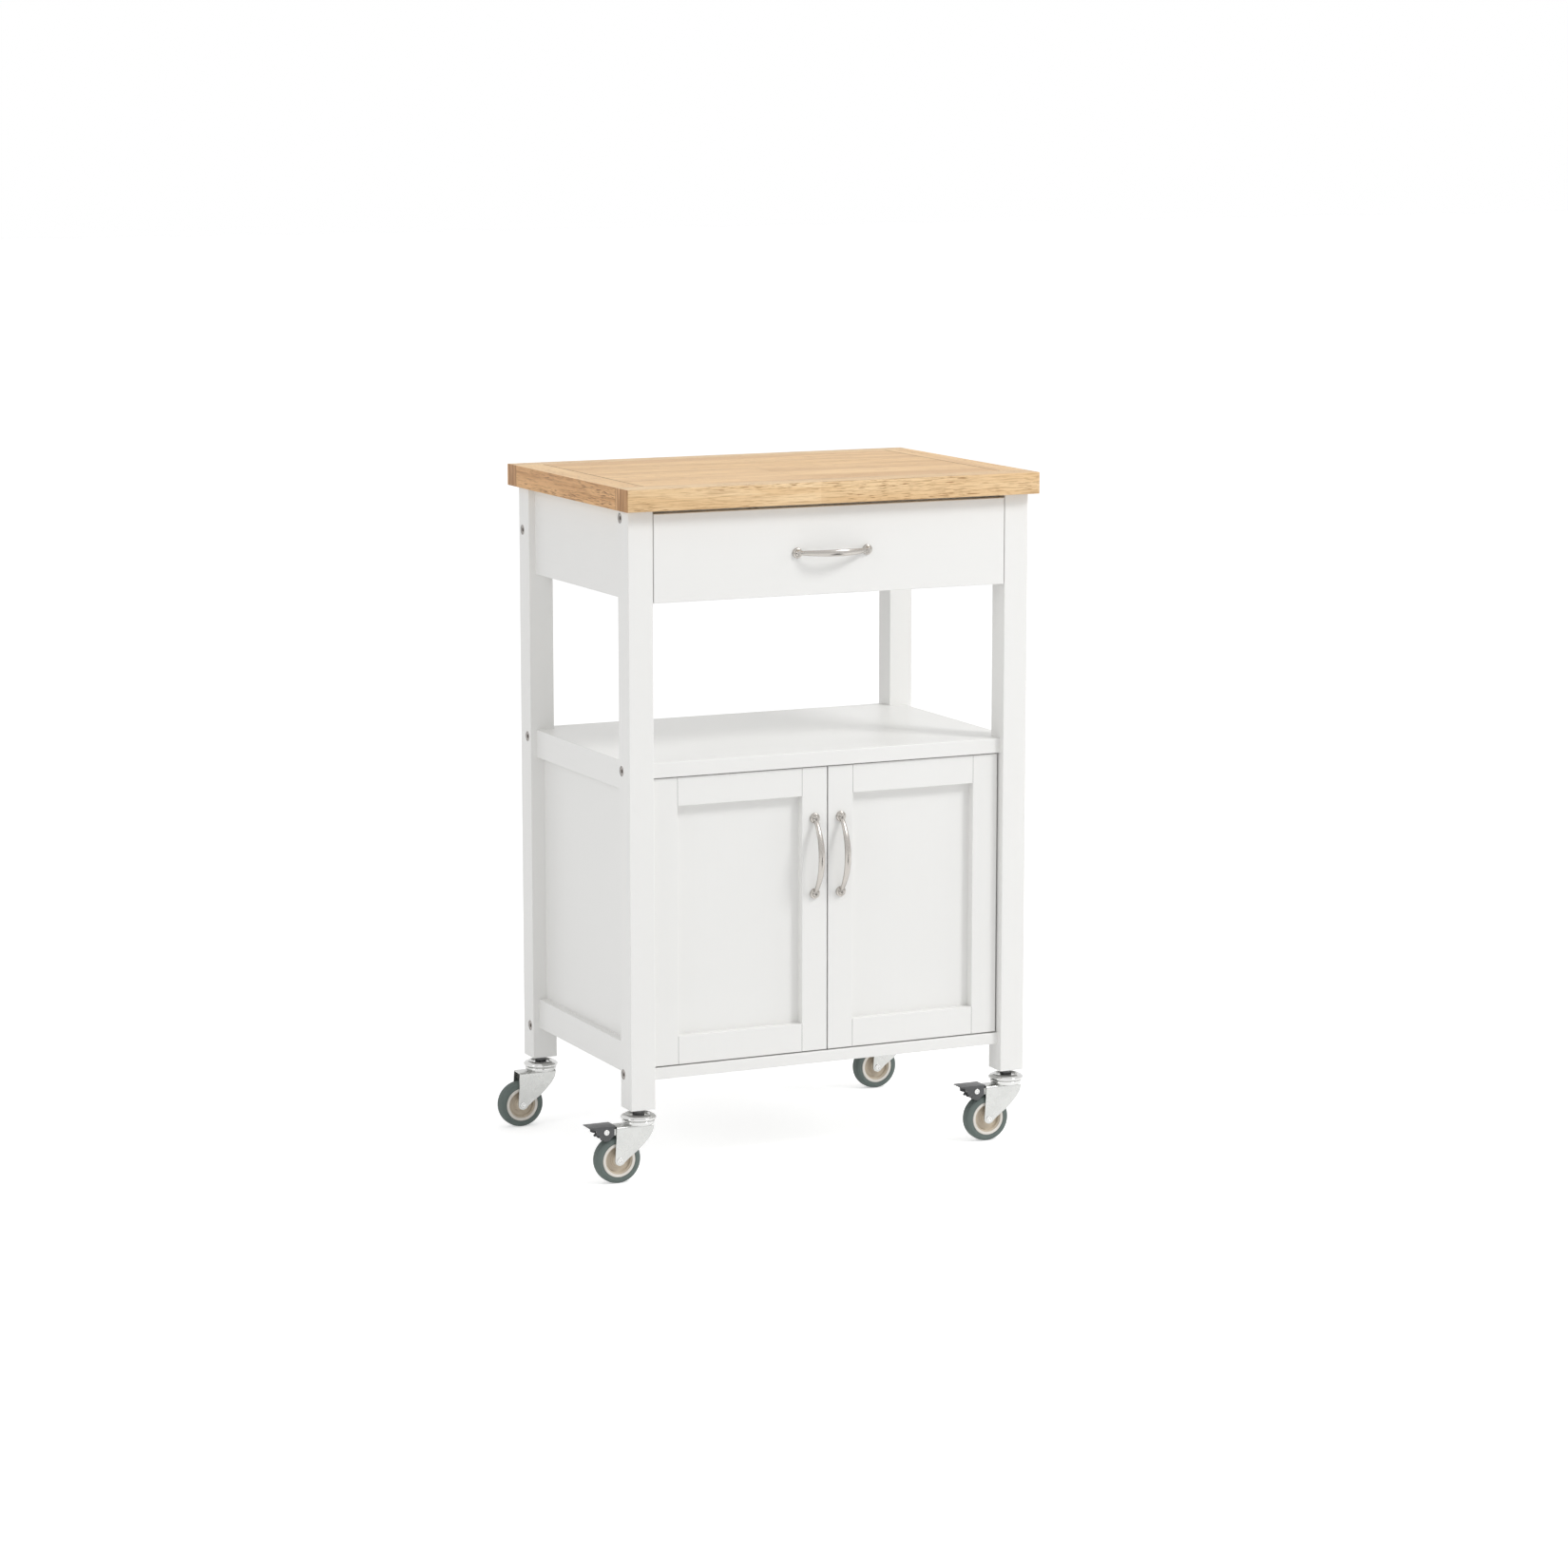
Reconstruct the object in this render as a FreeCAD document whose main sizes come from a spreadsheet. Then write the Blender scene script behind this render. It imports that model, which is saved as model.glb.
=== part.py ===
"""Microwave cart on four swivel casters: a timber frame with a worktop, a drawer, an open bay and a cupboard.

Lengths are millimetres. +Z is up, the front looks along -Y and the floor is at z = 0. Every place below is
written in the cart's own frame, whose x = 0 and y = 0 run through the middle of the worktop, and place() moves
each piece so that the origin is the bottom centre of the whole cart with its casters and handles.
"""
import FreeCAD
import Part
import Sketcher
import math
import os
from types import SimpleNamespace

DIMENSIONS = {
    # worktop
    "top_width": 600,            # side to side
    "top_depth": 420,            # front to back
    "total_height": 920,         # floor to worktop
    "top_thick": 29,
    "front_strip": 40,           # width of the long board along the front
    "back_strip": 33,            # width of the long board along the back
    "end_board": 40,             # width of the two short boards at the ends
    "top_round": 1.6,            # rounding of the worktop's outer edges
    # legs and how far other pieces stand back from their outer faces
    "side_overhang": 8,
    "front_overhang": 18,
    "back_overhang": 22,
    "leg_size": 35,
    "leg_foot": 98,              # height of the legs' lower ends
    "edge_round": 1,             # rounding of painted edges
    "rail_setback": 9.5,         # side rails behind the legs' outer faces
    "front_setback": 9,          # shelf and floor behind the legs' front and back faces
    # aprons and the rail over the drawer
    "apron_tall": 118,
    "apron_thick": 18,
    "back_apron_thick": 15,
    "front_rail_deep": 20,
    "front_rail_tall": 22,
    "front_rail_behind": 17,     # from the legs' front faces
    "cleat_size": 20,            # square battens that hold the worktop
    "cleat_clear": 4,            # between the battens and the legs
    # shelf and cupboard
    "shelf_top": 558.5,
    "shelf_thick": 20,
    "shelf_rail_tall": 38.5,
    "floor_top": 150.5,
    "floor_thick": 15.5,
    "lower_rail_low": 140,
    "lower_rail_tall": 41,
    "panel_setback": 20.5,       # side panels behind the legs' outer faces
    "panel_thick": 12,
    "back_panel_thick": 6,
    "back_panel_setback": 15,    # behind the back legs' outer faces
    "tongue": 6,                 # depth of the grooves that hold the panels
    "slack": 0.2,                # room left at each end of a tongue
    "fit": 0.05,                 # radial room round bolts, dowels and pins
    # drawer
    "drawer_gap": 1,             # each side of the drawer front
    "drawer_top_gap": 5,
    "drawer_front_tall": 116.5,
    "drawer_front_thick": 15,
    "drawer_side_thick": 14,
    "drawer_side_gap": 1.7,
    "drawer_side_tall": 80,
    "drawer_side_rise": 9.5,     # drawer sides over the drawer front's lower edge
    "drawer_back_gap": 8.5,      # between the closed drawer and the back apron
    "drawer_back_thick": 12,
    "drawer_bottom_thick": 4,
    "drawer_bottom_rise": 6,
    "runner_wide": 9,
    "runner_tall": 14,
    "runner_rise": 32,           # runner over the drawer sides' lower edges
    "runner_gap": 0.3,
    # doors
    "door_setback": 12.5,
    "door_thick": 18,
    "door_side_gap": 2.3,
    "door_end_gap": 1.5,
    "door_middle_gap": 2,
    "stile_wide": 36.5,
    "door_rail_tall": 38,
    "door_panel_thick": 6,
    # concealed hinges
    "hinge_inset": 21,           # pin from the door's outer edge
    "hinge_depth": 9,            # pin in front of the door's back face
    "hinge_from_end": 60,        # from the door's lower and upper ends
    "cup_radius": 13,
    "cup_wall": 0.8,
    "cup_depth": 13,
    "pin_radius": 1.25,
    "arm_thick": 2,
    "arm_tall": 7,
    "eye_radius": 2.6,
    "plate_thick": 3,
    "plate_tall": 34,
    "plate_long": 30,
    "plate_behind": 36,          # plate behind the pin
    # bends of a hinge's arm, from the pin: towards the cart's middle or its side, and backwards
    "arm_bow": 18,
    "arm_bow_behind": 16.5,
    "arm_neck": 13,
    "arm_neck_behind": 28,
    "arm_heel": 14,
    "arm_heel_behind": 34,
    "arm_foot_behind": 39,
    "arm_end_behind": 66,
    # handles
    "handle_span": 102,
    "handle_reach": 25,
    "handle_wide": 9,
    "handle_thick": 4,
    "handle_foot_radius": 7,
    "handle_foot_thick": 3,
    "handle_foot_taper": 4.9,    # radius of the cone under the bow, at the wood
    "handle_neck": 3,            # the cone beyond the foot
    "handle_neck_radius": 3.4,
    "drawer_handle_rise": 56.5,  # over the drawer front's lower edge
    "door_handle_drop": 119.5,   # middle of the handles below the doors' upper ends
    # fasteners
    "bolt_radius": 3,
    "bolt_head_radius": 7,
    "bolt_head_thick": 3,
    "bolt_sink": 0.6,
    "bolt_grip": 32,             # bolt's reach beyond the leg
    "nut_radius": 5,
    "nut_inset": 24,             # cross nut from the board's end
    "nut_cover": 2,              # wood left over a cross nut
    "nut_recess": 1,             # cross nut under the face that it opens on
    "dowel_radius": 4,
    "dowel_half": 15,
    "screw_radius": 2,
    "screw_head_radius": 3.8,
    "screw_head_thick": 2,
    "screw_bite": 16,
    # casters
    "wheel_radius": 31.75,
    "tread_wide": 18.5,
    "rim_radius": 23,
    "dish_radius": 18,
    "boss_radius": 8.5,
    "web_thick": 8,
    "axle_radius": 3,
    "caster_trail": 31.5,        # axle behind the swivel axis
    "fork_wide": 24.5,
    "sheet": 2,                  # thickness of pressed steel
    "fork_top": 77.5,
    "fork_reach": 49,            # from the axle to the fork's far edge
    "fork_foot": 7,              # sheet round the axle
    "fork_foot_corner": 4,
    "raceway_radius": 22,
    "raceway_top": 84,
    "swivel_gap": 0.3,
    "cap_radius": 24,
    "cap_rim": 18,               # where the cap's slope meets its flat top
    "cap_top": 91,
    "collar_radius": 8,
    "stem_radius": 5,
    "stem_long": 38,
    "king_radius": 4,
    "pivot_behind": 19.5,        # brake pivot from the axle, away from the swivel axis
    "pivot_over": 40.5,          # brake pivot over the axle
    "bracket_round": 6,          # sheet round the brake pivot
    "pin_radius_brake": 2.8,
    "pedal_reach": 23.5,         # pedal beyond its pivot
    "pedal_inner": 13.5,         # pedal from its pivot towards the swivel axis
    "pedal_over": 0.5,           # pedal over the fork
    "pedal_wide": 25.5,
    "cheek_low": 12.7,           # the pedal's cheeks below the pivot
    "shoe_thick": 3,             # bar that presses on the tyre
    "shoe_tall": 5.4,
}

# Shares, without unit.
TOUCHING = 0.001                 # of a box's size, within which a point counts as on its face
APRON_DOWELS = (0.25, 0.65)      # heights of the dowels in an apron, of its height
FRONT_BOLT_INSET = 0.25          # shelf and floor bolts from a leg's inner face, of the leg's size
BACK_BOLT_INSET = 0.33
DRAWER_GROOVE = 0.4              # groove for the drawer's bottom, of the side's thickness
BOW_TAPER = 0.42                 # how much narrower a handle is at its ends than in the middle
BOW_STEPS = 12
RIVET_HEAD = 1.4                 # a rivet head's radius, of its shank's
TREAD_BEVEL = 0.125              # the tyre's bevel, of its width
SOCKET_SIZE = 0.75               # a bolt's socket, of its shank's radius
FORK_EDGE = (                    # the fork's lower edge, of its reach and of its height over the axle
    (1, 0.79), (0.88, 0.59), (0.59, 0.31))
CHEEK_EDGE = (                   # a cheek's lower edge, of the pedal's inner reach and of the cheek's depth
    (0.85, -0.47), (0.22, -1), (-0.19, -1), (-0.3, -0.63), (-0.52, -0.67), (-0.63, -0.39), (-0.74, 0),
    (-1.04, 0.24))
CHEEK_OUTER = 1.15               # the cheek's end under the plate, of the pedal's inner reach


class Size:
    """A length: its value, and the sheet formula that gives it."""

    def __init__(self, value, formula):
        self.value = value
        self.formula = formula

    def __add__(self, other):
        return combined(self, "+", other)

    def __radd__(self, other):
        return combined(other, "+", self)

    def __sub__(self, other):
        return combined(self, "-", other)

    def __rsub__(self, other):
        return combined(other, "-", self)

    def __mul__(self, factor):
        return combined(self, "*", factor)

    def __rmul__(self, factor):
        return combined(factor, "*", self)

    def __truediv__(self, divisor):
        return combined(self, "/", divisor)

    def __neg__(self):
        return combined(0, "-", self)


OPERATIONS = {
    "+": lambda a, b: a + b,
    "-": lambda a, b: a - b,
    "*": lambda a, b: a * b,
    "/": lambda a, b: a / b,
}


def size(length):
    """A plain number as a Size, and a Size as it is."""
    if isinstance(length, Size):
        return length
    return Size(float(length), "(" + repr(float(length)) + ")")


def combined(left, sign, right):
    """The Size that joins two lengths by + - * or /."""
    left = size(left)
    right = size(right)
    value = OPERATIONS[sign](left.value, right.value)
    return Size(value, "(" + left.formula + " " + sign + " " + right.formula + ")")


doc = FreeCAD.newDocument("microwave_cart")
sheet = doc.addObject("Spreadsheet::Sheet", "dims")
for row, (alias, number) in enumerate(DIMENSIONS.items(), start=1):
    sheet.set("A" + str(row), alias)
    sheet.set("B" + str(row), str(number))
    sheet.setAlias("B" + str(row), alias)
doc.recompute()
mm = SimpleNamespace(**{alias: Size(float(number), "dims." + alias) for alias, number in DIMENSIONS.items()})

nodes = []
SIDES = {"left": -1, "right": 1}
TURN_TO = {
    "x": FreeCAD.Rotation(FreeCAD.Vector(0, 1, 0), 90),
    "y": FreeCAD.Rotation(FreeCAD.Vector(1, 0, 0), -90),
    "z": FreeCAD.Rotation(),
}

# Faces and lines that several pieces share, in the cart's frame.
leg_out = mm.top_width / 2 - mm.side_overhang
leg_in = leg_out - mm.leg_size
leg_mid = leg_out - mm.leg_size / 2
front = -mm.top_depth / 2 + mm.front_overhang
back = mm.top_depth / 2 - mm.back_overhang
front_in = front + mm.leg_size
back_in = back - mm.leg_size
under_top = mm.total_height - mm.top_thick
rail_out = leg_out - mm.rail_setback
apron_low = under_top - mm.apron_tall
shelf_low = mm.shelf_top - mm.shelf_thick
shelf_rail_low = mm.shelf_top - mm.shelf_rail_tall
floor_low = mm.floor_top - mm.floor_thick
lower_rail_top = mm.lower_rail_low + mm.lower_rail_tall
panel_out = leg_out - mm.panel_setback
panel_in = panel_out - mm.panel_thick
shelf_front = front + mm.front_setback
shelf_back = back - mm.front_setback
back_panel_back = back - mm.back_panel_setback
back_panel_front = back_panel_back - mm.back_panel_thick
rail_front = front + mm.front_rail_behind
rail_back = rail_front + mm.front_rail_deep
rail_low = under_top - mm.front_rail_tall
apron_in = rail_out - mm.apron_thick
back_apron_back = back - mm.front_setback / 2
back_apron_front = back_apron_back - mm.back_apron_thick
drawer_low = under_top - mm.drawer_top_gap - mm.drawer_front_tall
drawer_side_low = drawer_low + mm.drawer_side_rise
drawer_handle_height = drawer_low + mm.drawer_handle_rise
drawer_face_back = front + mm.drawer_front_thick
drawer_out = leg_in - mm.drawer_side_gap
drawer_in = drawer_out - mm.drawer_side_thick
drawer_end = back_apron_front - mm.drawer_back_gap
door_front = front + mm.door_setback
door_back = door_front + mm.door_thick
door_low = mm.floor_top + mm.door_end_gap
door_high = shelf_low - mm.door_end_gap
door_out = leg_in - mm.door_side_gap
door_in = mm.door_middle_gap / 2
door_handle_height = door_high - mm.door_handle_drop
hinge_x = door_out - mm.hinge_inset
hinge_y = door_back - mm.hinge_depth
hinge_heights = (door_low + mm.hinge_from_end, door_high - mm.hinge_from_end)
axle_height = mm.wheel_radius
centre_x = (mm.caster_trail + mm.pivot_behind + mm.pedal_reach + leg_mid - mm.top_width / 2) / 2
centre_y = (mm.handle_reach - mm.front_overhang) / 2


def bind(thing, prop, length):
    """Tie a property to the sheet."""
    thing.setExpression(prop, size(length).formula)


def place(thing, x, y, z):
    """Put a piece's own origin at a point of the cart's frame."""
    bind(thing, "Placement.Base.x", centre_x + x)
    bind(thing, "Placement.Base.y", centre_y + y)
    bind(thing, "Placement.Base.z", z)


def side(sign, near, far):
    """The interval from near to far of the middle, on the left (-1) or the right (1)."""
    if sign > 0:
        return (size(near), size(far))
    return (-size(far), -size(near))


def node(thing, name):
    """Name a finished sub-part and keep it for export."""
    thing.Label = name
    nodes.append(thing)
    return thing


def group(name, pieces):
    """One node that holds several separate solids."""
    bundle = doc.addObject("Part::Compound", "group_" + name)
    bundle.Links = pieces
    return node(bundle, name)


def sketch_on(body, role, offset=0):
    """A sketch on one of the body's own origin planes, moved along its normal."""
    sketch = body.newObject("Sketcher::SketchObject", body.Name + "_sketch")
    plane = [feature for feature in body.Origin.OriginFeatures if feature.Role == role][0]
    sketch.AttachmentSupport = [(plane, "")]
    sketch.MapMode = "FlatFace"
    bind(sketch, "AttachmentOffset.Base.z", offset)
    return sketch


def polygon(sketch, points):
    """A closed outline whose corners are tied to the sheet."""
    corners = [(size(across), size(up)) for across, up in points]
    count = len(corners)
    for index, (across, up) in enumerate(corners):
        next_across, next_up = corners[(index + 1) % count]
        start = FreeCAD.Vector(across.value, up.value, 0)
        end = FreeCAD.Vector(next_across.value, next_up.value, 0)
        sketch.addGeometry(Part.LineSegment(start, end), False)
    for index in range(count):
        sketch.addConstraint(Sketcher.Constraint("Coincident", index, 2, (index + 1) % count, 1))
    for index, corner in enumerate(corners):
        for kind, length in zip(("DistanceX", "DistanceY"), corner):
            number = sketch.addConstraint(Sketcher.Constraint(kind, -1, 1, index, 1, length.value))
            bind(sketch, "Constraints[" + str(number) + "]", length)


def touches(box, point, face):
    """Whether a point lies on the named face of a box, such as x- or z+."""
    axis = face[0].upper()
    low = getattr(box, axis + "Min")
    high = getattr(box, axis + "Max")
    wall = high if face[1] == "+" else low
    return abs(getattr(point, face[0]) - wall) < (high - low) * TOUCHING


class Solid:
    """A PartDesign body whose features are given in the cart's frame."""

    def __init__(self, name, corner):
        self.low = tuple(size(length) for length in corner)
        self.body = doc.addObject("PartDesign::Body", name)
        self.body.Label = name
        place(self.body, *self.low)

    def put(self, feature, corner):
        """Set a primitive's origin to a point of the cart's frame."""
        for axis, low, at in zip("xyz", self.low, corner):
            bind(feature, "Placement.Base." + axis, at - low)

    def block(self, kind, x, y, z):
        feature = self.body.newObject("PartDesign::" + kind, self.body.Name + "_block")
        for prop, span in zip(("Length", "Width", "Height"), (x, y, z)):
            bind(feature, prop, span[1] - span[0])
        self.put(feature, (size(x[0]), size(y[0]), size(z[0])))

    def notch(self, x, y, z):
        """Cut a box away."""
        self.block("SubtractiveBox", x, y, z)

    def add_block(self, x, y, z):
        """Join a box on."""
        self.block("AdditiveBox", x, y, z)

    def rod(self, kind, along, start, long, radius):
        feature = self.body.newObject("PartDesign::" + kind, self.body.Name + "_rod")
        feature.Placement = FreeCAD.Placement(FreeCAD.Vector(), TURN_TO[along])
        bind(feature, "Radius", radius)
        bind(feature, "Height", long)
        self.put(feature, [size(at) for at in start])

    def drill(self, along, start, long, radius):
        """A round hole from start, in the axis's positive direction."""
        self.rod("SubtractiveCylinder", along, start, long, radius)

    def ease(self, radius, shown, joined=""):
        """Round the edges on the shown faces, except where they meet a joined face."""
        doc.recompute()
        tip = self.body.Tip
        box = tip.Shape.BoundBox
        names = []
        for number, edge in enumerate(tip.Shape.Edges, start=1):
            middle = edge.CenterOfMass
            on_shown = any(touches(box, middle, face) for face in shown.split())
            on_joined = any(touches(box, middle, face) for face in joined.split())
            if on_shown and not on_joined:
                names.append("Edge" + str(number))
        fillet = self.body.newObject("PartDesign::Fillet", self.body.Name + "_ease")
        fillet.Base = (tip, names)
        bind(fillet, "Radius", radius)


class Board(Solid):
    """A rectangular timber piece between three pairs of faces."""

    def __init__(self, name, x, y, z):
        super().__init__(name, (x[0], y[0], z[0]))
        wide = size(x[1]) - x[0]
        deep = size(y[1]) - y[0]
        sketch = sketch_on(self.body, "XY_Plane")
        polygon(sketch, [(0, 0), (wide, 0), (wide, deep), (0, deep)])
        pad = self.body.newObject("PartDesign::Pad", name + "_pad")
        pad.Profile = sketch
        bind(pad, "Length", size(z[1]) - z[0])


def turned(name, along, centre, profile):
    """A piece of revolution about an axis through centre. The profile's points are (radius, height)."""
    body = doc.addObject("PartDesign::Body", name)
    body.Label = name
    body.Placement = FreeCAD.Placement(FreeCAD.Vector(), TURN_TO[along])
    place(body, *centre)
    sketch = sketch_on(body, "XZ_Plane")
    polygon(sketch, profile)
    turn = body.newObject("PartDesign::Revolution", name + "_turn")
    turn.Profile = sketch
    turn.ReferenceAxis = (sketch, ["V_Axis"])
    return body


def rod(name, along, start, long, radius):
    """A plain cylinder from start, in the axis's positive direction."""
    cylinder = doc.addObject("Part::Cylinder", name)
    cylinder.Placement = FreeCAD.Placement(FreeCAD.Vector(), TURN_TO[along])
    bind(cylinder, "Radius", radius)
    bind(cylinder, "Height", long)
    place(cylinder, *start)
    return cylinder


def fused(name, pieces):
    fusion = doc.addObject("Part::MultiFuse", name)
    fusion.Shapes = pieces
    return fusion


def cut(name, base, tool):
    result = doc.addObject("Part::Cut", name)
    result.Base = base
    result.Tool = tool
    return result


# ---- worktop: two long strips, two end boards between them and a panel in the middle ----

def make_worktop():
    height = (under_top, mm.total_height)
    half = mm.top_width / 2
    front_edge = -mm.top_depth / 2
    back_edge = mm.top_depth / 2
    inner = (front_edge + mm.front_strip, back_edge - mm.back_strip)
    boards = [Board("worktop_panel", (mm.end_board - half, half - mm.end_board), inner, height)]
    strips = {"front": (front_edge, inner[0], "y-", "y+"), "back": (inner[1], back_edge, "y+", "y-")}
    for name, (near, far, shown, joined) in strips.items():
        strip = Board("worktop_" + name + "_strip", (-half, half), (near, far), height)
        strip.ease(mm.top_round, shown + " x- x+", joined)
        boards.append(strip)
    for name, sign in SIDES.items():
        end = Board("worktop_" + name + "_end", side(sign, half - mm.end_board, half), inner, height)
        end.ease(mm.top_round, "x+" if sign > 0 else "x-", "y- y+")
        boards.append(end)
    bore_worktop(boards)
    for board in boards:
        node(board.body, board.body.Name)


# ---- frame: legs, rails, shelf, floor and panels ----

bolt_rows = {
    # end of the cart: (y, z) of the bolts that run through its legs
    "front": (
        (rail_front + mm.front_rail_deep / 2, rail_low + mm.front_rail_tall / 2),
        (front_in - mm.leg_size * FRONT_BOLT_INSET, mm.shelf_top - mm.shelf_thick / 2),
        (front_in - mm.leg_size * FRONT_BOLT_INSET, mm.floor_top - mm.floor_thick / 2),
    ),
    "back": (
        (back_apron_front + mm.back_apron_thick / 2, apron_low + mm.apron_tall / 2),
        (back_in + mm.leg_size * BACK_BOLT_INSET, mm.shelf_top - mm.shelf_thick / 2),
        (back_in + mm.leg_size * BACK_BOLT_INSET, mm.floor_top - mm.floor_thick / 2),
    ),
}
apron_mid = (rail_out + apron_in) / 2
rail_mid = (rail_out + leg_in) / 2
cleat_screw_rows = ((front_in * 3 + back_in) / 4, (front_in + back_in * 3) / 4)
nut_spans = {
    # (end, row): start and length of the holes for the cross nuts, which open on the board's hidden face
    ("front", 0): (rail_low, mm.front_rail_tall - mm.nut_cover),
    ("front", 1): (shelf_low, mm.shelf_thick - mm.nut_cover),
    ("front", 2): (floor_low, mm.floor_thick - mm.nut_cover),
    ("back", 0): (back_apron_front, mm.back_apron_thick - mm.nut_cover),
    ("back", 1): (shelf_low, mm.shelf_thick - mm.nut_cover),
    ("back", 2): (floor_low, mm.floor_thick - mm.nut_cover),
}
dowel_places = (
    # distance from the middle, and height
    (apron_mid, apron_low + mm.apron_tall * APRON_DOWELS[0]),
    (apron_mid, apron_low + mm.apron_tall * APRON_DOWELS[1]),
    (rail_mid, (shelf_rail_low + mm.tongue + shelf_low) / 2),
    (rail_mid, mm.lower_rail_low + mm.lower_rail_tall / 2),
)


def make_legs():
    groove = (panel_in, panel_out)
    groove_height = (lower_rail_top - mm.tongue, shelf_rail_low + mm.tongue)
    ends = {"front": (front, front_in, front_in - mm.tongue, front_in - mm.dowel_half),
            "back": (back_in, back, back_in, back_in)}
    for end, (near, far, groove_start, dowel_start) in ends.items():
        for name, sign in SIDES.items():
            leg = Board(end + "_" + name + "_leg", side(sign, leg_in, leg_out), (near, far),
                        (mm.leg_foot, under_top))
            leg.ease(mm.edge_round, "x- x+ y- y+", "z- z+")
            leg.notch(side(sign, *groove), (groove_start, groove_start + mm.tongue), groove_height)
            if end == "back":
                leg.notch(side(sign, leg_in, leg_in + mm.tongue), (back_panel_front, back_panel_back),
                          (mm.floor_top, shelf_low))
            for y, z in bolt_rows[end]:
                head = side(sign, leg_out - mm.bolt_head_thick - mm.bolt_sink, leg_out)
                leg.drill("x", (head[0], y, z), head[1] - head[0], mm.bolt_head_radius + mm.fit)
                through = side(sign, leg_in, leg_out)
                leg.drill("x", (through[0], y, z), mm.leg_size, mm.bolt_radius + mm.fit)
            for x, z in dowel_places:
                leg.drill("y", (sign * x, dowel_start, z), mm.dowel_half, mm.dowel_radius + mm.fit)
            leg.drill("z", (sign * leg_mid, (near + far) / 2, mm.leg_foot), mm.stem_long + mm.slack,
                      mm.stem_radius + mm.fit)
            node(leg.body, end + "_" + name + "_leg")


def bore_dowels(board, x, z):
    """Blind holes in both ends of a rail that runs from front leg to back leg."""
    for start in (front_in, back_in - mm.dowel_half):
        board.drill("y", (x, start, z), mm.dowel_half, mm.dowel_radius + mm.fit)


def bore_for_bolts(board, end, row, nut_along):
    """Bolt and cross nut holes in both ends of a board that runs from left leg to right leg."""
    y, z = bolt_rows[end][row]
    reach = mm.bolt_grip + mm.slack
    for sign in SIDES.values():
        bolt = side(sign, leg_in - reach, leg_in)
        board.drill("x", (bolt[0], y, z), reach, mm.bolt_radius + mm.fit)
        nut_x = sign * (leg_in - mm.nut_inset)
        low, long = nut_spans[(end, row)]
        start = (nut_x, y, low) if nut_along == "z" else (nut_x, low, z)
        board.drill(nut_along, start, long, mm.nut_radius + mm.fit)


def make_aprons():
    pair = []
    for name, sign in SIDES.items():
        apron = Board(name + "_apron", side(sign, apron_in, rail_out), (front_in, back_in), (apron_low, under_top))
        apron.ease(mm.edge_round, "z-", "y- y+")
        for x, z in dowel_places[:2]:
            bore_dowels(apron, sign * x, z)
        pair.append(apron.body)
    group("side_aprons", pair)
    across = (-leg_in, leg_in)
    rear = Board("back_apron", across, (back_apron_front, back_apron_back), (apron_low, under_top))
    rear.ease(mm.edge_round, "z-", "x- x+")
    bore_for_bolts(rear, "back", 0, "y")
    node(rear.body, "back_apron")
    rail = Board("top_front_rail", across, (rail_front, rail_back), (rail_low, under_top))
    bore_for_bolts(rail, "front", 0, "z")
    for sign in SIDES.values():
        drill_worktop_screw(rail, sign * leg_in / 2, rail_front + mm.front_rail_deep / 2, mm.front_rail_tall)
    node(rail.body, "top_front_rail")


def drill_worktop_screw(board, x, y, tall):
    """A clearance hole for a screw that goes up into the worktop."""
    board.drill("z", (x, y, under_top - tall), tall, mm.screw_radius + mm.fit)


def make_cleats():
    pair = []
    for name, sign in SIDES.items():
        cleat = Board(name + "_worktop_cleat", side(sign, apron_in - mm.cleat_size, apron_in),
                      (front_in + mm.cleat_clear, back_in - mm.cleat_clear), (under_top - mm.cleat_size, under_top))
        for y in cleat_screw_rows:
            drill_worktop_screw(cleat, sign * (apron_in - mm.cleat_size / 2), y, mm.cleat_size)
        pair.append(cleat.body)
    group("worktop_cleats", pair)


def make_shelf_and_floor():
    across = (-leg_in, leg_in)
    depth = (shelf_front, shelf_back)
    shelf = Board("shelf_board", across, depth, (shelf_low, mm.shelf_top))
    shelf.ease(mm.edge_round, "y- y+", "x- x+")
    floor = Board("floor_board", across, depth, (floor_low, mm.floor_top))
    floor.ease(mm.edge_round, "y- y+", "x- x+")
    for board, row in ((shelf, 1), (floor, 2)):
        for end in ("front", "back"):
            bore_for_bolts(board, end, row, "z")
        node(board.body, board.body.Name)


def make_side_rails():
    rows = {
        "shelf": (shelf_rail_low, mm.shelf_top, shelf_rail_low, dowel_places[2], "z-"),
        "lower": (mm.lower_rail_low, lower_rail_top, lower_rail_top - mm.tongue, dowel_places[3], "z- z+"),
    }
    for row, (low, high, groove_low, dowel, eased) in rows.items():
        pair = []
        for name, sign in SIDES.items():
            rail = Board(name + "_" + row + "_rail", side(sign, leg_in, rail_out), (front_in, back_in), (low, high))
            outer = "x+" if sign > 0 else "x-"
            inner = "x-" if sign > 0 else "x+"
            rail.ease(mm.edge_round, outer, "y- y+ " + inner)
            rail.notch(side(sign, panel_in, panel_out), (front_in, back_in), (groove_low, groove_low + mm.tongue))
            bore_dowels(rail, sign * dowel[0], dowel[1])
            pair.append(rail.body)
        group(row + "_rails", pair)


def make_panels():
    hidden = mm.tongue - mm.slack
    for name, sign in SIDES.items():
        panel = Board(name + "_side_panel", side(sign, panel_in, panel_out), (front_in - hidden, back_in + hidden),
                      (lower_rail_top - hidden, shelf_rail_low + hidden))
        node(panel.body, name + "_side_panel")
    reach = leg_in + hidden
    rear = Board("back_panel", (-reach, reach), (back_panel_front, back_panel_back), (mm.floor_top, shelf_low))
    node(rear.body, "back_panel")


# ---- fasteners of the frame ----

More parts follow.
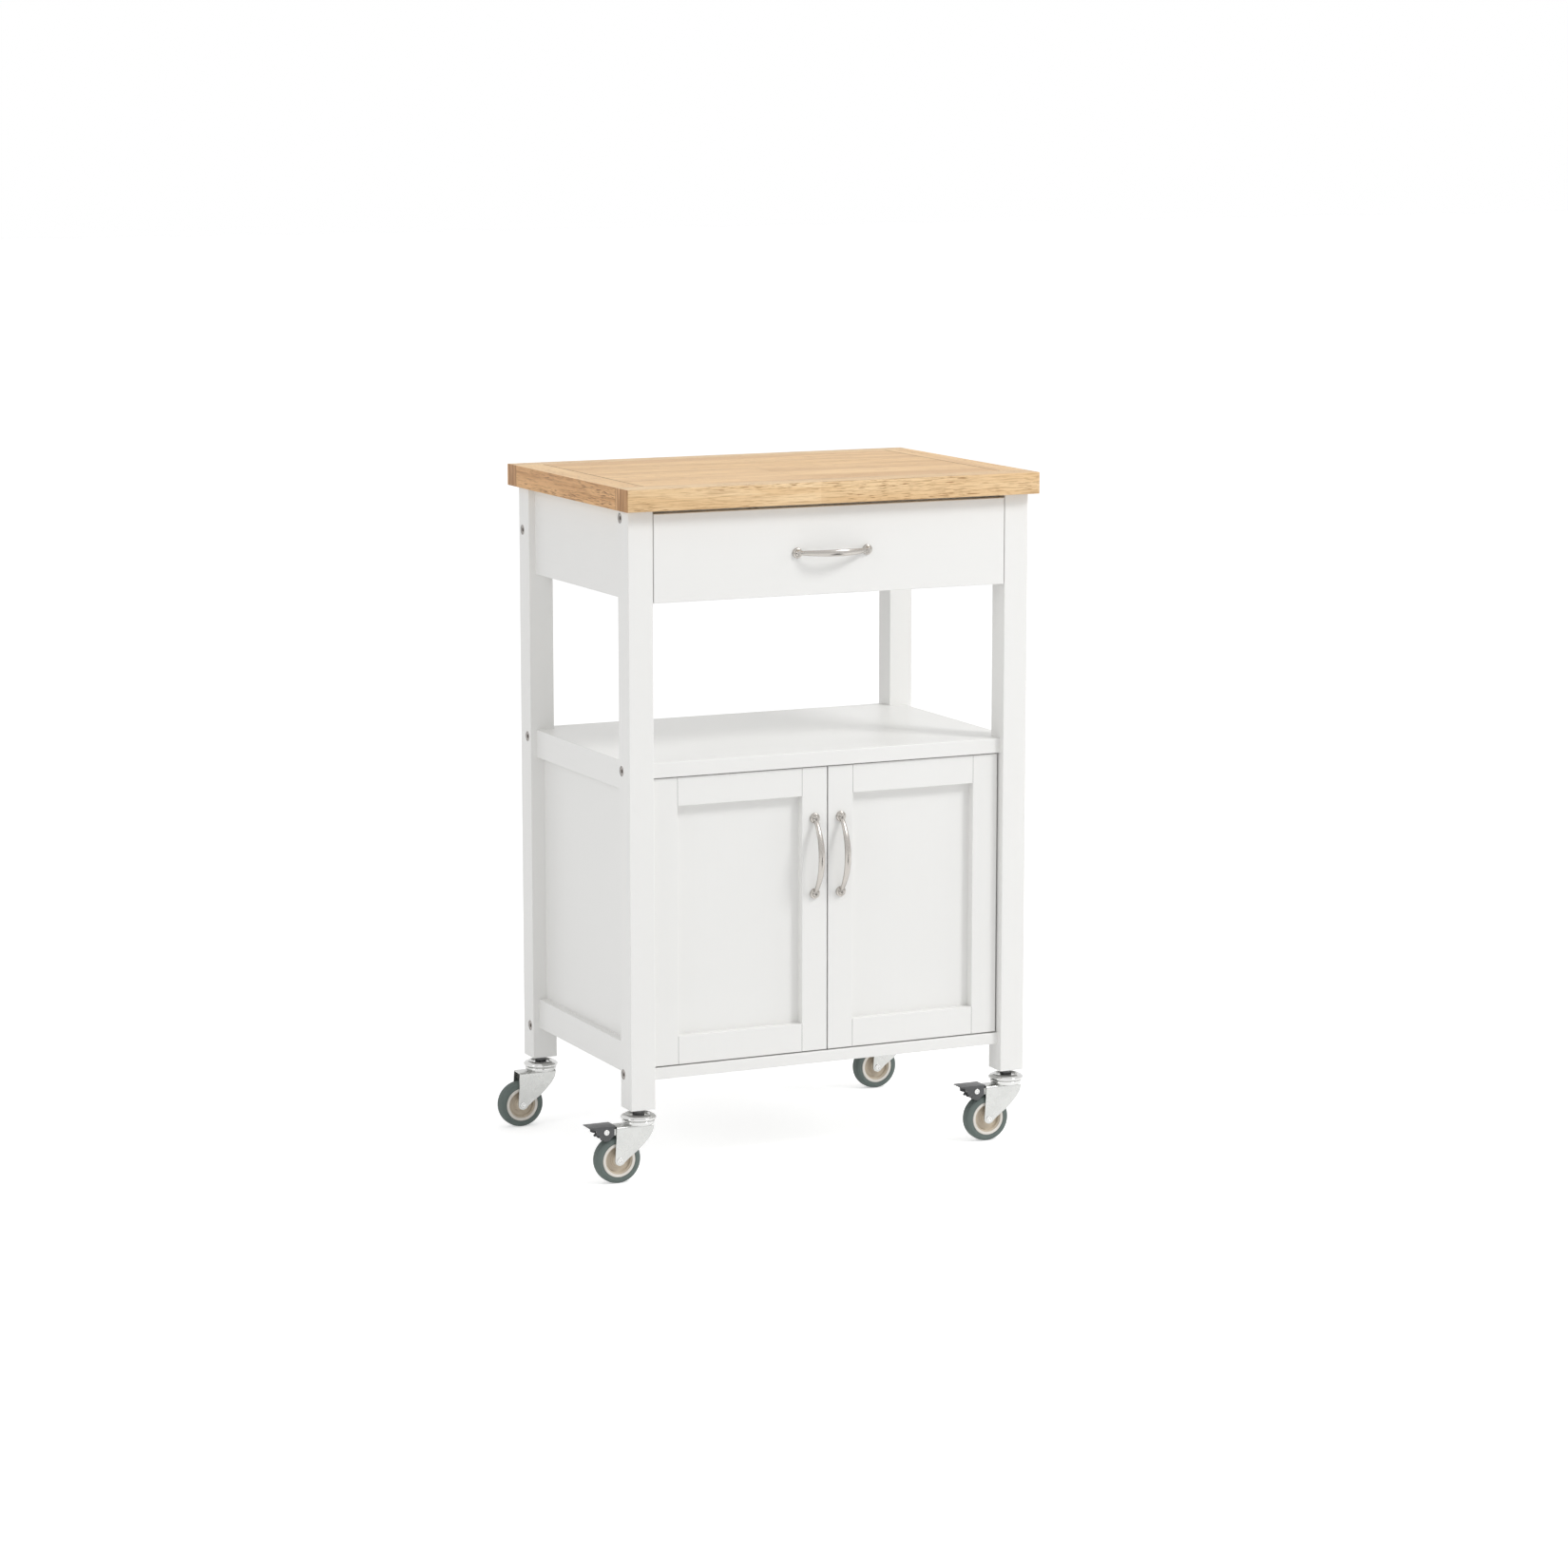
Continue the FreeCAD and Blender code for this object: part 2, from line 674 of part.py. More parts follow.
def make_frame_bolts():
    bolts = []
    nuts = []
    for end, rows in bolt_rows.items():
        for row, (y, z) in enumerate(rows):
            for name, sign in SIDES.items():
                label = end + "_" + name + "_" + str(row)
                face = leg_out - mm.bolt_sink
                head = side(sign, face - mm.bolt_head_thick, face)
                shank = side(sign, leg_in - mm.bolt_grip, face - mm.bolt_head_thick / 2)
                body = fused("bolt_body_" + label, [
                    rod("bolt_head_" + label, "x", (head[0], y, z), mm.bolt_head_thick, mm.bolt_head_radius),
                    rod("bolt_shank_" + label, "x", (shank[0], y, z), shank[1] - shank[0], mm.bolt_radius)])
                socket = doc.addObject("Part::Prism", "bolt_socket_" + label)
                socket.Polygon = 6
                socket.Placement = FreeCAD.Placement(FreeCAD.Vector(), TURN_TO["x"])
                bind(socket, "Circumradius", mm.bolt_radius * SOCKET_SIZE)
                bind(socket, "Height", mm.bolt_head_thick / 2)
                drive = side(sign, face - mm.bolt_head_thick / 2, face)
                place(socket, drive[0], y, z)
                bolts.append(cut("bolt_" + label, body, socket))
                low, long = nut_spans[(end, row)]
                along = "y" if (end, row) == ("back", 0) else "z"
                nut_x = sign * (leg_in - mm.nut_inset)
                nut_low = low + mm.nut_recess
                start = (nut_x, nut_low, z) if along == "y" else (nut_x, y, nut_low)
                blank = rod("nut_blank_" + label, along, start, long - mm.nut_recess, mm.nut_radius)
                thread = rod("nut_thread_" + label, "x", (nut_x - mm.nut_radius, y, z), mm.nut_radius * 2,
                             mm.bolt_radius + mm.fit)
                nuts.append(cut("nut_" + label, blank, thread))
    group("frame_bolts", bolts)
    group("barrel_nuts", nuts)


def make_dowels():
    dowels = []
    for name, sign in SIDES.items():
        for row, (x, z) in enumerate(dowel_places):
            for end, joint in (("front", front_in), ("back", back_in)):
                start = (sign * x, joint - mm.dowel_half + mm.slack, z)
                label = "dowel_" + end + "_" + name + "_" + str(row)
                dowels.append(rod(label, "y", start, (mm.dowel_half - mm.slack) * 2, mm.dowel_radius))
    group("frame_dowels", dowels)


def worktop_screw_spots():
    """Where each worktop screw starts: (x, y, underside of the piece that it holds)."""
    for sign in SIDES.values():
        yield sign * leg_in / 2, rail_front + mm.front_rail_deep / 2, rail_low
        for y in cleat_screw_rows:
            yield sign * (apron_in - mm.cleat_size / 2), y, under_top - mm.cleat_size


def make_worktop_screws():
    screws = []
    for number, (x, y, low) in enumerate(worktop_screw_spots()):
        label = "worktop_screw_" + str(number)
        head_low = low - mm.screw_head_thick
        head = rod(label + "_head", "z", (x, y, head_low), mm.screw_head_thick, mm.screw_head_radius)
        shank = rod(label + "_shank", "z", (x, y, head_low), under_top - head_low + mm.screw_bite, mm.screw_radius)
        screws.append(fused(label, [head, shank]))
    group("worktop_screws", screws)


def bore_worktop(pieces):
    """Pilot holes for the screws, in whichever of the worktop's boards they meet."""
    for board in pieces:
        for x, y, _ in worktop_screw_spots():
            board.drill("z", (x, y, under_top), mm.screw_bite + mm.slack, mm.screw_radius + mm.fit)


# ---- drawer ----

runner_low = drawer_side_low + mm.runner_rise


def make_runners():
    pair = []
    for name, sign in SIDES.items():
        runner = Board(name + "_runner", side(sign, leg_in - mm.runner_wide, leg_in),
                       (drawer_face_back + mm.drawer_gap, back_apron_front), (runner_low, runner_low + mm.runner_tall))
        pair.append(runner.body)
    group("drawer_runners", pair)


def make_drawer():
    half = leg_in - mm.drawer_gap
    face = Board("drawer_front", (-half, half), (front, drawer_face_back),
                 (drawer_low, under_top - mm.drawer_top_gap))
    face.ease(mm.edge_round, "y-")
    for sign in SIDES.values():
        face.drill("y", (sign * mm.handle_span / 2, front, drawer_handle_height), mm.drawer_front_thick,
                   mm.screw_radius + mm.fit)
    node(face.body, "drawer_front")
    height = (drawer_side_low, drawer_side_low + mm.drawer_side_tall)
    bottom_low = drawer_side_low + mm.drawer_bottom_rise
    bottom_height = (bottom_low, bottom_low + mm.drawer_bottom_thick)
    groove = mm.drawer_side_thick * DRAWER_GROOVE
    sides = []
    for name, sign in SIDES.items():
        board = Board(name + "_drawer_side", side(sign, drawer_in, drawer_out), (drawer_face_back, drawer_end), height)
        board.ease(mm.edge_round, "z+", "y-")
        runner_groove = side(sign, leg_in - mm.runner_wide - mm.slack * 2, drawer_out)
        board.notch(runner_groove, (drawer_face_back, drawer_end),
                    (runner_low - mm.runner_gap, runner_low + mm.runner_tall + mm.runner_gap))
        board.notch(side(sign, drawer_in, drawer_in + groove), (drawer_face_back, drawer_end), bottom_height)
        sides.append(board.body)
    group("drawer_sides", sides)
    rear_front = drawer_end - mm.drawer_back_thick
    rear = Board("drawer_back", (-drawer_in, drawer_in), (rear_front, drawer_end),
                 (bottom_height[1], height[1] - mm.edge_round * 2))
    rear.ease(mm.edge_round, "z+", "x- x+")
    node(rear.body, "drawer_back")
    reach = drawer_in + groove - mm.slack
    bottom = Board("drawer_bottom", (-reach, reach), (drawer_face_back, drawer_end - mm.slack), bottom_height)
    node(bottom.body, "drawer_bottom")


# ---- doors ----

def door_handle_x(sign):
    return sign * (door_in + mm.stile_wide / 2)


def make_doors():
    rebate = mm.door_panel_thick
    panel_low = door_low + mm.door_rail_tall
    panel_high = door_high - mm.door_rail_tall
    depth = (door_front, door_back)
    rebate_depth = (door_back - rebate, door_back)
    for name, sign in SIDES.items():
        outer_stile = (door_out - mm.stile_wide, door_out)
        inner_stile = (door_in, door_in + mm.stile_wide)
        opening = (inner_stile[1], outer_stile[0])
        frame = []
        for place_name, span in (("hinge", outer_stile), ("meeting", inner_stile)):
            stile = Board(name + "_door_" + place_name + "_stile", side(sign, *span), depth, (door_low, door_high))
            stile.ease(mm.edge_round / 2, "y-")
            if place_name == "hinge":
                stile.notch(side(sign, opening[1], opening[1] + rebate), rebate_depth,
                            (panel_low - rebate, panel_high + rebate))
                for z in hinge_heights:
                    stile.drill("y", (sign * hinge_x, door_back - mm.cup_depth, z), mm.cup_depth,
                                mm.cup_radius + mm.fit)
            else:
                stile.notch(side(sign, opening[0] - rebate, opening[0]), rebate_depth,
                            (panel_low - rebate, panel_high + rebate))
                for end in (-1, 1):
                    height = door_handle_height + end * mm.handle_span / 2
                    stile.drill("y", (door_handle_x(sign), door_front, height), mm.door_thick,
                                mm.screw_radius + mm.fit)
            frame.append(stile.body)
        for place_name, low, notch_low in (("lower", door_low, panel_low - rebate),
                                           ("upper", panel_high, panel_high)):
            rail = Board(name + "_door_" + place_name + "_rail", side(sign, *opening), depth,
                         (low, low + mm.door_rail_tall))
            rail.ease(mm.edge_round / 2, "y-")
            rail.notch(side(sign, *opening), rebate_depth, (notch_low, notch_low + rebate))
            frame.append(rail.body)
        group(name + "_door_frame", frame)
        inset = rebate - mm.slack
        panel = Board(name + "_door_panel", side(sign, opening[0] - inset, opening[1] + inset), rebate_depth,
                      (panel_low - inset, panel_high + inset))
        for z in hinge_heights:
            panel.drill("y", (sign * hinge_x, door_back - rebate, z), rebate, mm.cup_radius + mm.fit)
        node(panel.body, name + "_door_panel")


# ---- concealed hinges: a cup in the door, a pin, a curved arm and a plate on the side panel ----

def hinge_arm_shape(sign):
    """A strip that bends from the pin, round the open door's edge, to the plate on the side panel."""
    to_plate = panel_in.value - mm.plate_thick.value - hinge_x.value - mm.arm_thick.value / 2
    bends = ((0, 0), (mm.arm_bow, mm.arm_bow_behind), (mm.arm_neck, mm.arm_neck_behind),
             (-mm.arm_heel, mm.arm_heel_behind), (-to_plate, mm.arm_foot_behind), (-to_plate, mm.arm_end_behind))
    path = [(size(inward).value, size(behind).value) for inward, behind in bends]
    half = mm.arm_thick.value / 2
    tall = mm.arm_tall.value
    low = FreeCAD.Vector(0, 0, -tall / 2)
    up = FreeCAD.Vector(0, 0, 1)
    points = [FreeCAD.Vector(-sign * inward, behind, -tall / 2) for inward, behind in path]
    shape = Part.makeCylinder(mm.eye_radius.value, tall, low, up)
    for start, end in zip(points, points[1:]):
        run = end - start
        across = FreeCAD.Vector(-run.y, run.x, 0).normalize() * half
        edge = Part.makePolygon([start - across, end - across, end + across, start + across, start - across])
        shape = shape.fuse(Part.Face(edge).extrude(up * tall))
        shape = shape.fuse(Part.makeCylinder(half, tall, end, up))
    pin_hole = Part.makeCylinder(mm.pin_radius.value + mm.fit.value, tall, low, up)
    return shape.cut(pin_hole).removeSplitter()


def make_hinges():
    arms = []
    plates = []
    pin_half = mm.cup_radius - mm.slack
    for name, sign in SIDES.items():
        cups = []
        for number, z in enumerate(hinge_heights):
            label = name + "_hinge_" + str(number)
            cup = turned(label + "_cup", "y", (sign * hinge_x, door_back - mm.cup_depth, z), [
                (0, 0), (mm.cup_radius, 0), (mm.cup_radius, mm.cup_depth),
                (mm.cup_radius - mm.cup_wall, mm.cup_depth), (mm.cup_radius - mm.cup_wall, mm.cup_wall),
                (0, mm.cup_wall)])
            pin_hole = cup.newObject("PartDesign::SubtractiveCylinder", label + "_pin_hole")
            pin_hole.Placement = FreeCAD.Placement(FreeCAD.Vector(), TURN_TO["y"])
            bind(pin_hole, "Radius", mm.pin_radius + mm.fit)
            bind(pin_hole, "Height", mm.cup_radius * 2)
            bind(pin_hole, "Placement.Base.y", -mm.cup_radius)
            bind(pin_hole, "Placement.Base.z", mm.cup_depth - mm.hinge_depth)
            cups.append(cup)
            arm = doc.addObject("Part::Feature", label + "_arm")
            arm.Shape = hinge_arm_shape(sign)
            place(arm, sign * hinge_x, hinge_y, z)
            arms.append(arm)
            arms.append(rod(label + "_pin", "z", (sign * hinge_x, hinge_y, z - pin_half), pin_half * 2,
                            mm.pin_radius))
            plate_start = hinge_y + mm.plate_behind
            plate = Board(label + "_plate", side(sign, panel_in - mm.plate_thick, panel_in),
                          (plate_start, plate_start + mm.plate_long), (z - mm.plate_tall / 2, z + mm.plate_tall / 2))
            plates.append(plate.body)
        group(name + "_hinge_cups", cups)
    group("hinge_arms", arms)
    group("hinge_plates", plates)


# ---- handles: a bow between two round feet, with the screws that hold it ----

def handle_shape(wood):
    """Lies along X and stands out along -Y from y = 0. The screws come through wood of that thickness."""
    half_span = mm.handle_span.value / 2
    foot = mm.handle_foot_thick.value
    sink = foot / 2
    rise = mm.handle_reach.value - mm.handle_thick.value / 2 - sink
    radius = (half_span ** 2 + rise ** 2) / (2 * rise)
    swing = math.asin(half_span / radius)
    sections = []
    for step in range(BOW_STEPS + 1):
        angle = swing * (2 * step / BOW_STEPS - 1)
        along = radius * math.sin(angle)
        out = sink + rise - radius * (1 - math.cos(angle))
        taper = 1 - BOW_TAPER * (angle / swing) ** 2
        ellipse = Part.Ellipse(FreeCAD.Vector(0, 0, 0), mm.handle_wide.value / 2 * taper,
                               mm.handle_thick.value / 2)
        wire = Part.Wire(ellipse.toShape())
        # the ellipse's long axis goes to Z, its short axis points outward and its normal runs along the bow
        wire.rotate(FreeCAD.Vector(0, 0, 0), FreeCAD.Vector(0, 1, 0), 90)
        wire.rotate(FreeCAD.Vector(0, 0, 0), FreeCAD.Vector(0, 0, 1), math.degrees(angle))
        wire.translate(FreeCAD.Vector(along, -out, 0))
        sections.append(wire)
    shape = Part.makeLoft(sections, True, False)
    outward = FreeCAD.Vector(0, -1, 0)
    grip = foot + mm.handle_neck.value
    screws = []
    for end in (-1, 1):
        at = FreeCAD.Vector(end * half_span, 0, 0)
        shape = shape.fuse(Part.makeCylinder(mm.handle_foot_radius.value, foot, at, outward))
        shape = shape.fuse(Part.makeCone(mm.handle_foot_taper.value, mm.handle_neck_radius.value,
                                         grip + mm.handle_thick.value / 4, at, outward))
    for end in (-1, 1):
        at = FreeCAD.Vector(end * half_span, 0, 0)
        hole = Part.makeCylinder(mm.screw_radius.value + mm.fit.value, grip, at, outward)
        shape = shape.cut(hole)
        back_of_wood = FreeCAD.Vector(end * half_span, wood, 0)
        shank = Part.makeCylinder(mm.screw_radius.value, wood + grip - mm.slack.value, back_of_wood, outward)
        head = Part.makeCylinder(mm.screw_head_radius.value, mm.screw_head_thick.value, back_of_wood, outward * -1)
        screws.append(shank.fuse(head))
    return Part.makeCompound([shape] + screws)


def make_handles():
    drawer = doc.addObject("Part::Feature", "drawer_handle")
    drawer.Shape = handle_shape(mm.drawer_front_thick.value)
    place(drawer, 0, front, drawer_handle_height)
    node(drawer, "drawer_handle")
    upright = FreeCAD.Rotation(FreeCAD.Vector(0, 1, 0), 90)
    for name, sign in SIDES.items():
        handle = doc.addObject("Part::Feature", name + "_door_handle")
        handle.Shape = handle_shape(mm.door_thick.value)
        handle.Placement = FreeCAD.Placement(FreeCAD.Vector(), upright)
        place(handle, door_handle_x(sign), door_front, door_handle_height)
        node(handle, name + "_door_handle")


# ---- casters: a stem in the leg, a fork that swivels on it, and a wheel with a tread ----

pin_low = mm.fork_top - mm.sheet * 2 - mm.swivel_gap
stem_low = mm.raceway_top + mm.swivel_gap


def caster_places():
    for end, y in (("front", (front + front_in) / 2), ("back", (back + back_in) / 2)):
        for name, sign in SIDES.items():
            yield end + "_" + name, sign * leg_mid, y


def make_stems():
    stems = []
    bevel = mm.sheet / 2
    for name, x, y in caster_places():
        head = mm.king_radius + mm.sheet * 1.5
        cap = mm.cap_radius
        stems.append(turned(name + "_stem", "z", (x, y, 0), [
            (0, pin_low), (head, pin_low), (head, pin_low + mm.sheet), (mm.king_radius, pin_low + mm.sheet),
            (mm.king_radius, stem_low), (cap - bevel, stem_low), (cap, stem_low + bevel),
            (cap, mm.cap_top - bevel * 4), (cap - bevel * 2, mm.cap_top - bevel * 2),
            (mm.cap_rim, mm.cap_top), (mm.collar_radius, mm.cap_top),
            (mm.collar_radius, mm.leg_foot), (mm.stem_radius, mm.leg_foot),
            (mm.stem_radius, mm.leg_foot + mm.stem_long), (0, mm.leg_foot + mm.stem_long)]))
    group("caster_stems", stems)


def make_fork(name, x, y, braked):
    fork = Solid(name + "_fork", (x, y, 0))
    body = fork.body
    half = mm.fork_wide / 2
    axle_x = -mm.caster_trail
    sketch = sketch_on(body, "XZ_Plane", -half)
    tall = mm.fork_top - axle_height
    foot = mm.fork_foot
    corner = mm.fork_foot_corner
    edge = [(axle_x + mm.fork_reach * across, axle_height + tall * up) for across, up in FORK_EDGE]
    polygon(sketch, [(axle_x - corner, mm.fork_top), (axle_x + mm.fork_reach, mm.fork_top), *edge,
                     (axle_x + foot, axle_height - corner), (axle_x + corner, axle_height - foot),
                     (axle_x - corner, axle_height - foot), (axle_x - foot, axle_height - corner),
                     (axle_x - foot, axle_height + corner)])
    pad = body.newObject("PartDesign::Pad", name + "_fork_pad")
    pad.Profile = sketch
    bind(pad, "Length", mm.fork_wide)
    inner = half - mm.sheet
    bridge_low = mm.fork_top - mm.sheet
    fork.notch((x + axle_x - mm.fork_reach, x + axle_x + mm.fork_reach * 2), (y - inner, y + inner),
               (0, bridge_low))
    fork.rod("AdditiveCylinder", "z", (x, y, mm.fork_top), mm.raceway_top - mm.fork_top, mm.raceway_radius)
    fork.drill("z", (x, y, bridge_low), mm.raceway_top - bridge_low, mm.king_radius + mm.fit)
    pivot_x = x + axle_x - mm.pivot_behind
    pivot_z = axle_height + mm.pivot_over
    if braked:
        bracket_top = bridge_low - mm.slack
        bracket_low = pivot_z - mm.bracket_round
        span = (pivot_x - mm.bracket_round, x + axle_x + mm.sheet / 2)
        fork.add_block(span, (y - inner, y + inner), (bracket_low, bracket_top))
        ear = inner - mm.sheet
        fork.notch(span, (y - ear, y + ear), (bracket_low, bracket_top - mm.sheet))
        fork.drill("y", (pivot_x, y - half, pivot_z), mm.fork_wide, mm.pin_radius_brake + mm.fit)
    fork.drill("y", (x + axle_x, y - half, axle_height), mm.fork_wide, mm.axle_radius + mm.fit)
    node(body, name + "_fork")


def make_wheel(name, x, y):
    tread = mm.tread_wide / 2
    bevel = mm.tread_wide * TREAD_BEVEL
    bore = mm.rim_radius + mm.fit
    centre = (x - mm.caster_trail, y, axle_height)
    tyre = turned(name + "_tyre", "y", centre, [
        (bore, -tread), (mm.wheel_radius - bevel, -tread), (mm.wheel_radius, bevel - tread),
        (mm.wheel_radius, tread - bevel), (mm.wheel_radius - bevel, tread), (bore, tread)])
    node(tyre, name + "_tyre")
    web = mm.web_thick / 2
    boss = mm.fork_wide / 2 - mm.sheet - mm.swivel_gap
    hole = mm.axle_radius + mm.fit
    hub = turned(name + "_hub", "y", centre, [
        (hole, -boss), (mm.boss_radius, -boss), (mm.boss_radius, -web), (mm.dish_radius, -web),
        (mm.dish_radius, -tread), (mm.rim_radius, -tread), (mm.rim_radius, tread), (mm.dish_radius, tread),
        (mm.dish_radius, web), (mm.boss_radius, web), (mm.boss_radius, boss), (hole, boss)])
    node(hub, name + "_hub")


def rivet(label, x, y, z, half, radius):
    """A rivet along Y with a head at each end."""
    head = mm.sheet / 2
    head_radius = radius * RIVET_HEAD
    return fused(label, [
        rod(label + "_shank", "y", (x, y - half - head, z), (half + head) * 2, radius),
        rod(label + "_near_head", "y", (x, y - half - head, z), head, head_radius),
        rod(label + "_far_head", "y", (x, y + half, z), head, head_radius)])


def make_axle(name, x, y, braked):
    axle_x = x - mm.caster_trail
    pieces = [rivet(name + "_wheel_rivet", axle_x, y, axle_height, mm.fork_wide / 2, mm.axle_radius)]
    if braked:
        pieces.append(rivet(name + "_brake_rivet", axle_x - mm.pivot_behind, y, axle_height + mm.pivot_over,
                            mm.pedal_wide / 2 + mm.swivel_gap, mm.pin_radius_brake))
    group(name + "_axle", pieces)


def make_pedal(name, x, y):
    """A foot plate on two cheeks, with a bar between them that presses on the tyre."""
    pivot_x = x - mm.caster_trail - mm.pivot_behind
    pivot_z = axle_height + mm.pivot_over
    pedal = Solid(name + "_brake_pedal", (pivot_x, y, pivot_z))
    body = pedal.body
    half = mm.pedal_wide / 2
    sketch = sketch_on(body, "XZ_Plane", -half)
    plate_low = mm.fork_top + mm.pedal_over - pivot_z
    plate_top = plate_low + mm.sheet
    edge = [(mm.pedal_inner * across, mm.cheek_low * up) for across, up in CHEEK_EDGE]
    polygon(sketch, [(-mm.pedal_reach, plate_top), (mm.pedal_inner, plate_top), (mm.pedal_inner, plate_low),
                     (edge[0][0], plate_low), *edge, (-mm.pedal_inner * CHEEK_OUTER, plate_low),
                     (-mm.pedal_reach, plate_low)])
    pad = body.newObject("PartDesign::Pad", name + "_pedal_pad")
    pad.Profile = sketch
    bind(pad, "Length", mm.pedal_wide)
    inner = mm.fork_wide / 2 - mm.sheet + mm.swivel_gap
    pedal.notch((pivot_x - mm.pedal_reach, pivot_x + mm.pedal_reach), (y - inner, y + inner),
                (pivot_z - mm.pedal_reach, pivot_z + plate_low))
    shoe_low = pivot_z - mm.cheek_low
    pedal.add_block((pivot_x - mm.shoe_thick / 2, pivot_x + mm.shoe_thick / 2), (y - inner, y + inner),
                    (shoe_low, shoe_low + mm.shoe_tall))
    pedal.drill("y", (pivot_x, y - half, pivot_z), mm.pedal_wide, mm.pin_radius_brake + mm.fit)
    node(body, name + "_brake_pedal")


def make_casters():
    make_stems()
    for name, x, y in caster_places():
        braked = name.startswith("front")
        make_fork(name, x, y, braked)
        make_wheel(name, x, y)
        make_axle(name, x, y, braked)
        if braked:
            make_pedal(name, x, y)


def check_and_write():
    """Stop at the first piece that failed; otherwise write one file for each node."""
    doc.recompute()
    for thing in doc.Objects:
        for state in thing.State:
            if state in ("Invalid", "Error"):
                raise RuntimeError(thing.Label + " is " + state)
    os.makedirs("parts", exist_ok=True)
    for piece in nodes:
        if piece.Shape.isNull() or not piece.Shape.isValid():
            raise RuntimeError(piece.Label + " has no valid shape")
        piece.Shape.exportStep("parts/" + piece.Label + ".step")
    print(len(nodes), "nodes,", sum(len(piece.Shape.Solids) for piece in nodes), "solids")


make_worktop()
make_legs()
make_aprons()
make_cleats()
make_shelf_and_floor()
make_side_rails()
make_panels()
make_frame_bolts()
make_dowels()
make_worktop_screws()
make_runners()
make_drawer()
make_doors()
make_hinges()
make_handles()
make_casters()
check_and_write()
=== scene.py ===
"""Looks of the microwave cart: finishes, detailed pieces, floor, lamps and camera.

Lengths in the shape code are millimetres and are scaled to metres as each piece is finished. Every place
is in the row frame: its origin is the bottom centre of the whole cart's box, with +Z up and the front
looking along -Y. The casters trail to the left, so the cart's own middle is at x = MIDDLE_X.
"""

import math

import bmesh
import bpy
from mathutils import Matrix, Vector


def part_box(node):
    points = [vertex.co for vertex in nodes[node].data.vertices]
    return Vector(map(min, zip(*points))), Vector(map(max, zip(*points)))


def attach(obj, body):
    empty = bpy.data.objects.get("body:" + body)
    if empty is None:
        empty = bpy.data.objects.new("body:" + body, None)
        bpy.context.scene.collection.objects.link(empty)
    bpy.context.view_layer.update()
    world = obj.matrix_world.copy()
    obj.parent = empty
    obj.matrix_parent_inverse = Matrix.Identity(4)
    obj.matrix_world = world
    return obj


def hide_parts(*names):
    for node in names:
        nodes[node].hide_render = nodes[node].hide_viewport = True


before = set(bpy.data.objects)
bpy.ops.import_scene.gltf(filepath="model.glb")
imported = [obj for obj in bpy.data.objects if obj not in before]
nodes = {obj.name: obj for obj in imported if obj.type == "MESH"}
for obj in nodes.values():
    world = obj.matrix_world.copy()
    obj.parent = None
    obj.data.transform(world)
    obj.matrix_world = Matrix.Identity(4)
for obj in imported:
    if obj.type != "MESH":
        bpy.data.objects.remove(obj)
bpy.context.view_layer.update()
CASTERS = ("front_left", "front_right", "back_left", "back_right")
MM = 0.001
MIDDLE_X = 24.5


# ---- finishes ----

class Finish:
    """A procedural material: one shader and the nodes that feed it."""

    def __init__(self, name, color, roughness, metallic=0.0, specular=0.5):
        self.material = bpy.data.materials.new(name)
        self.material.use_nodes = True
        self.tree = self.material.node_tree
        self.shader = self.tree.nodes["Principled BSDF"]
        self.shader.inputs["Base Color"].default_value = (*color, 1)
        self.shader.inputs["Roughness"].default_value = roughness
        self.shader.inputs["Metallic"].default_value = metallic
        self.shader.inputs["Specular IOR Level"].default_value = specular
        self.coordinates = self.node("TexCoord").outputs["Object"]
        self.normal = None

    def node(self, kind, **settings):
        made = self.tree.nodes.new("ShaderNode" + kind)
        for name, value in settings.items():
            setattr(made, name, value)
        return made

    def link(self, source, node, socket):
        self.tree.links.new(source, node.inputs[socket])

    def space(self, scale):
        """The object's coordinates in metres, times a scale for each axis."""
        mapping = self.node("Mapping")
        mapping.inputs["Scale"].default_value = scale
        self.link(self.coordinates, mapping, "Vector")
        return mapping.outputs["Vector"]

    def noise(self, scale, detail=2.0, distortion=0.0):
        made = self.node("TexNoise")
        made.inputs["Scale"].default_value = 1.0
        made.inputs["Detail"].default_value = detail
        made.inputs["Distortion"].default_value = distortion
        self.link(self.space(scale), made, "Vector")
        return made.outputs["Fac"]

    def ramp(self, source, *stops):
        """From one colour to another, as the source rises. Both stops are (value, colour)."""
        made = self.node("ValToRGB")
        for element, (value, color) in zip(made.color_ramp.elements, stops):
            element.position = value
            element.color = (*color, 1)
        self.link(source, made, "Fac")
        return made.outputs["Color"]

    def level(self, source, low, high, out_low, out_high):
        """The source's range low to high, carried over to another range."""
        made = self.node("MapRange")
        ends = {"From Min": low, "From Max": high, "To Min": out_low, "To Max": out_high}
        for socket, value in ends.items():
            made.inputs[socket].default_value = value
        self.link(source, made, "Value")
        return made.outputs["Result"]

    def tint(self, base, factor, color):
        """base with color laid over it, as strongly as factor says."""
        mix = self.node("Mix", data_type="RGBA")
        self.link(factor, mix, 0)
        self.link(base, mix, 6)
        mix.inputs[7].default_value = (*color, 1)
        return mix.outputs[2]

    def bump(self, height, distance, strength=1.0):
        """Raise the surface by the height, over what is raised already."""
        made = self.node("Bump")
        made.inputs["Distance"].default_value = distance
        made.inputs["Strength"].default_value = strength
        self.link(height, made, "Height")
        if self.normal:
            self.link(self.normal, made, "Normal")
        self.normal = made.outputs["Normal"]

    def finish(self, color=None, roughness=None):
        if color:
            self.link(color, self.shader, "Base Color")
        if roughness:
            self.link(roughness, self.shader, "Roughness")
        if self.normal:
            self.link(self.normal, self.shader, "Normal")
        return self.material


def dimmed(color, share):
    """The colour with a share of its light."""
    return tuple(part * share for part in color)


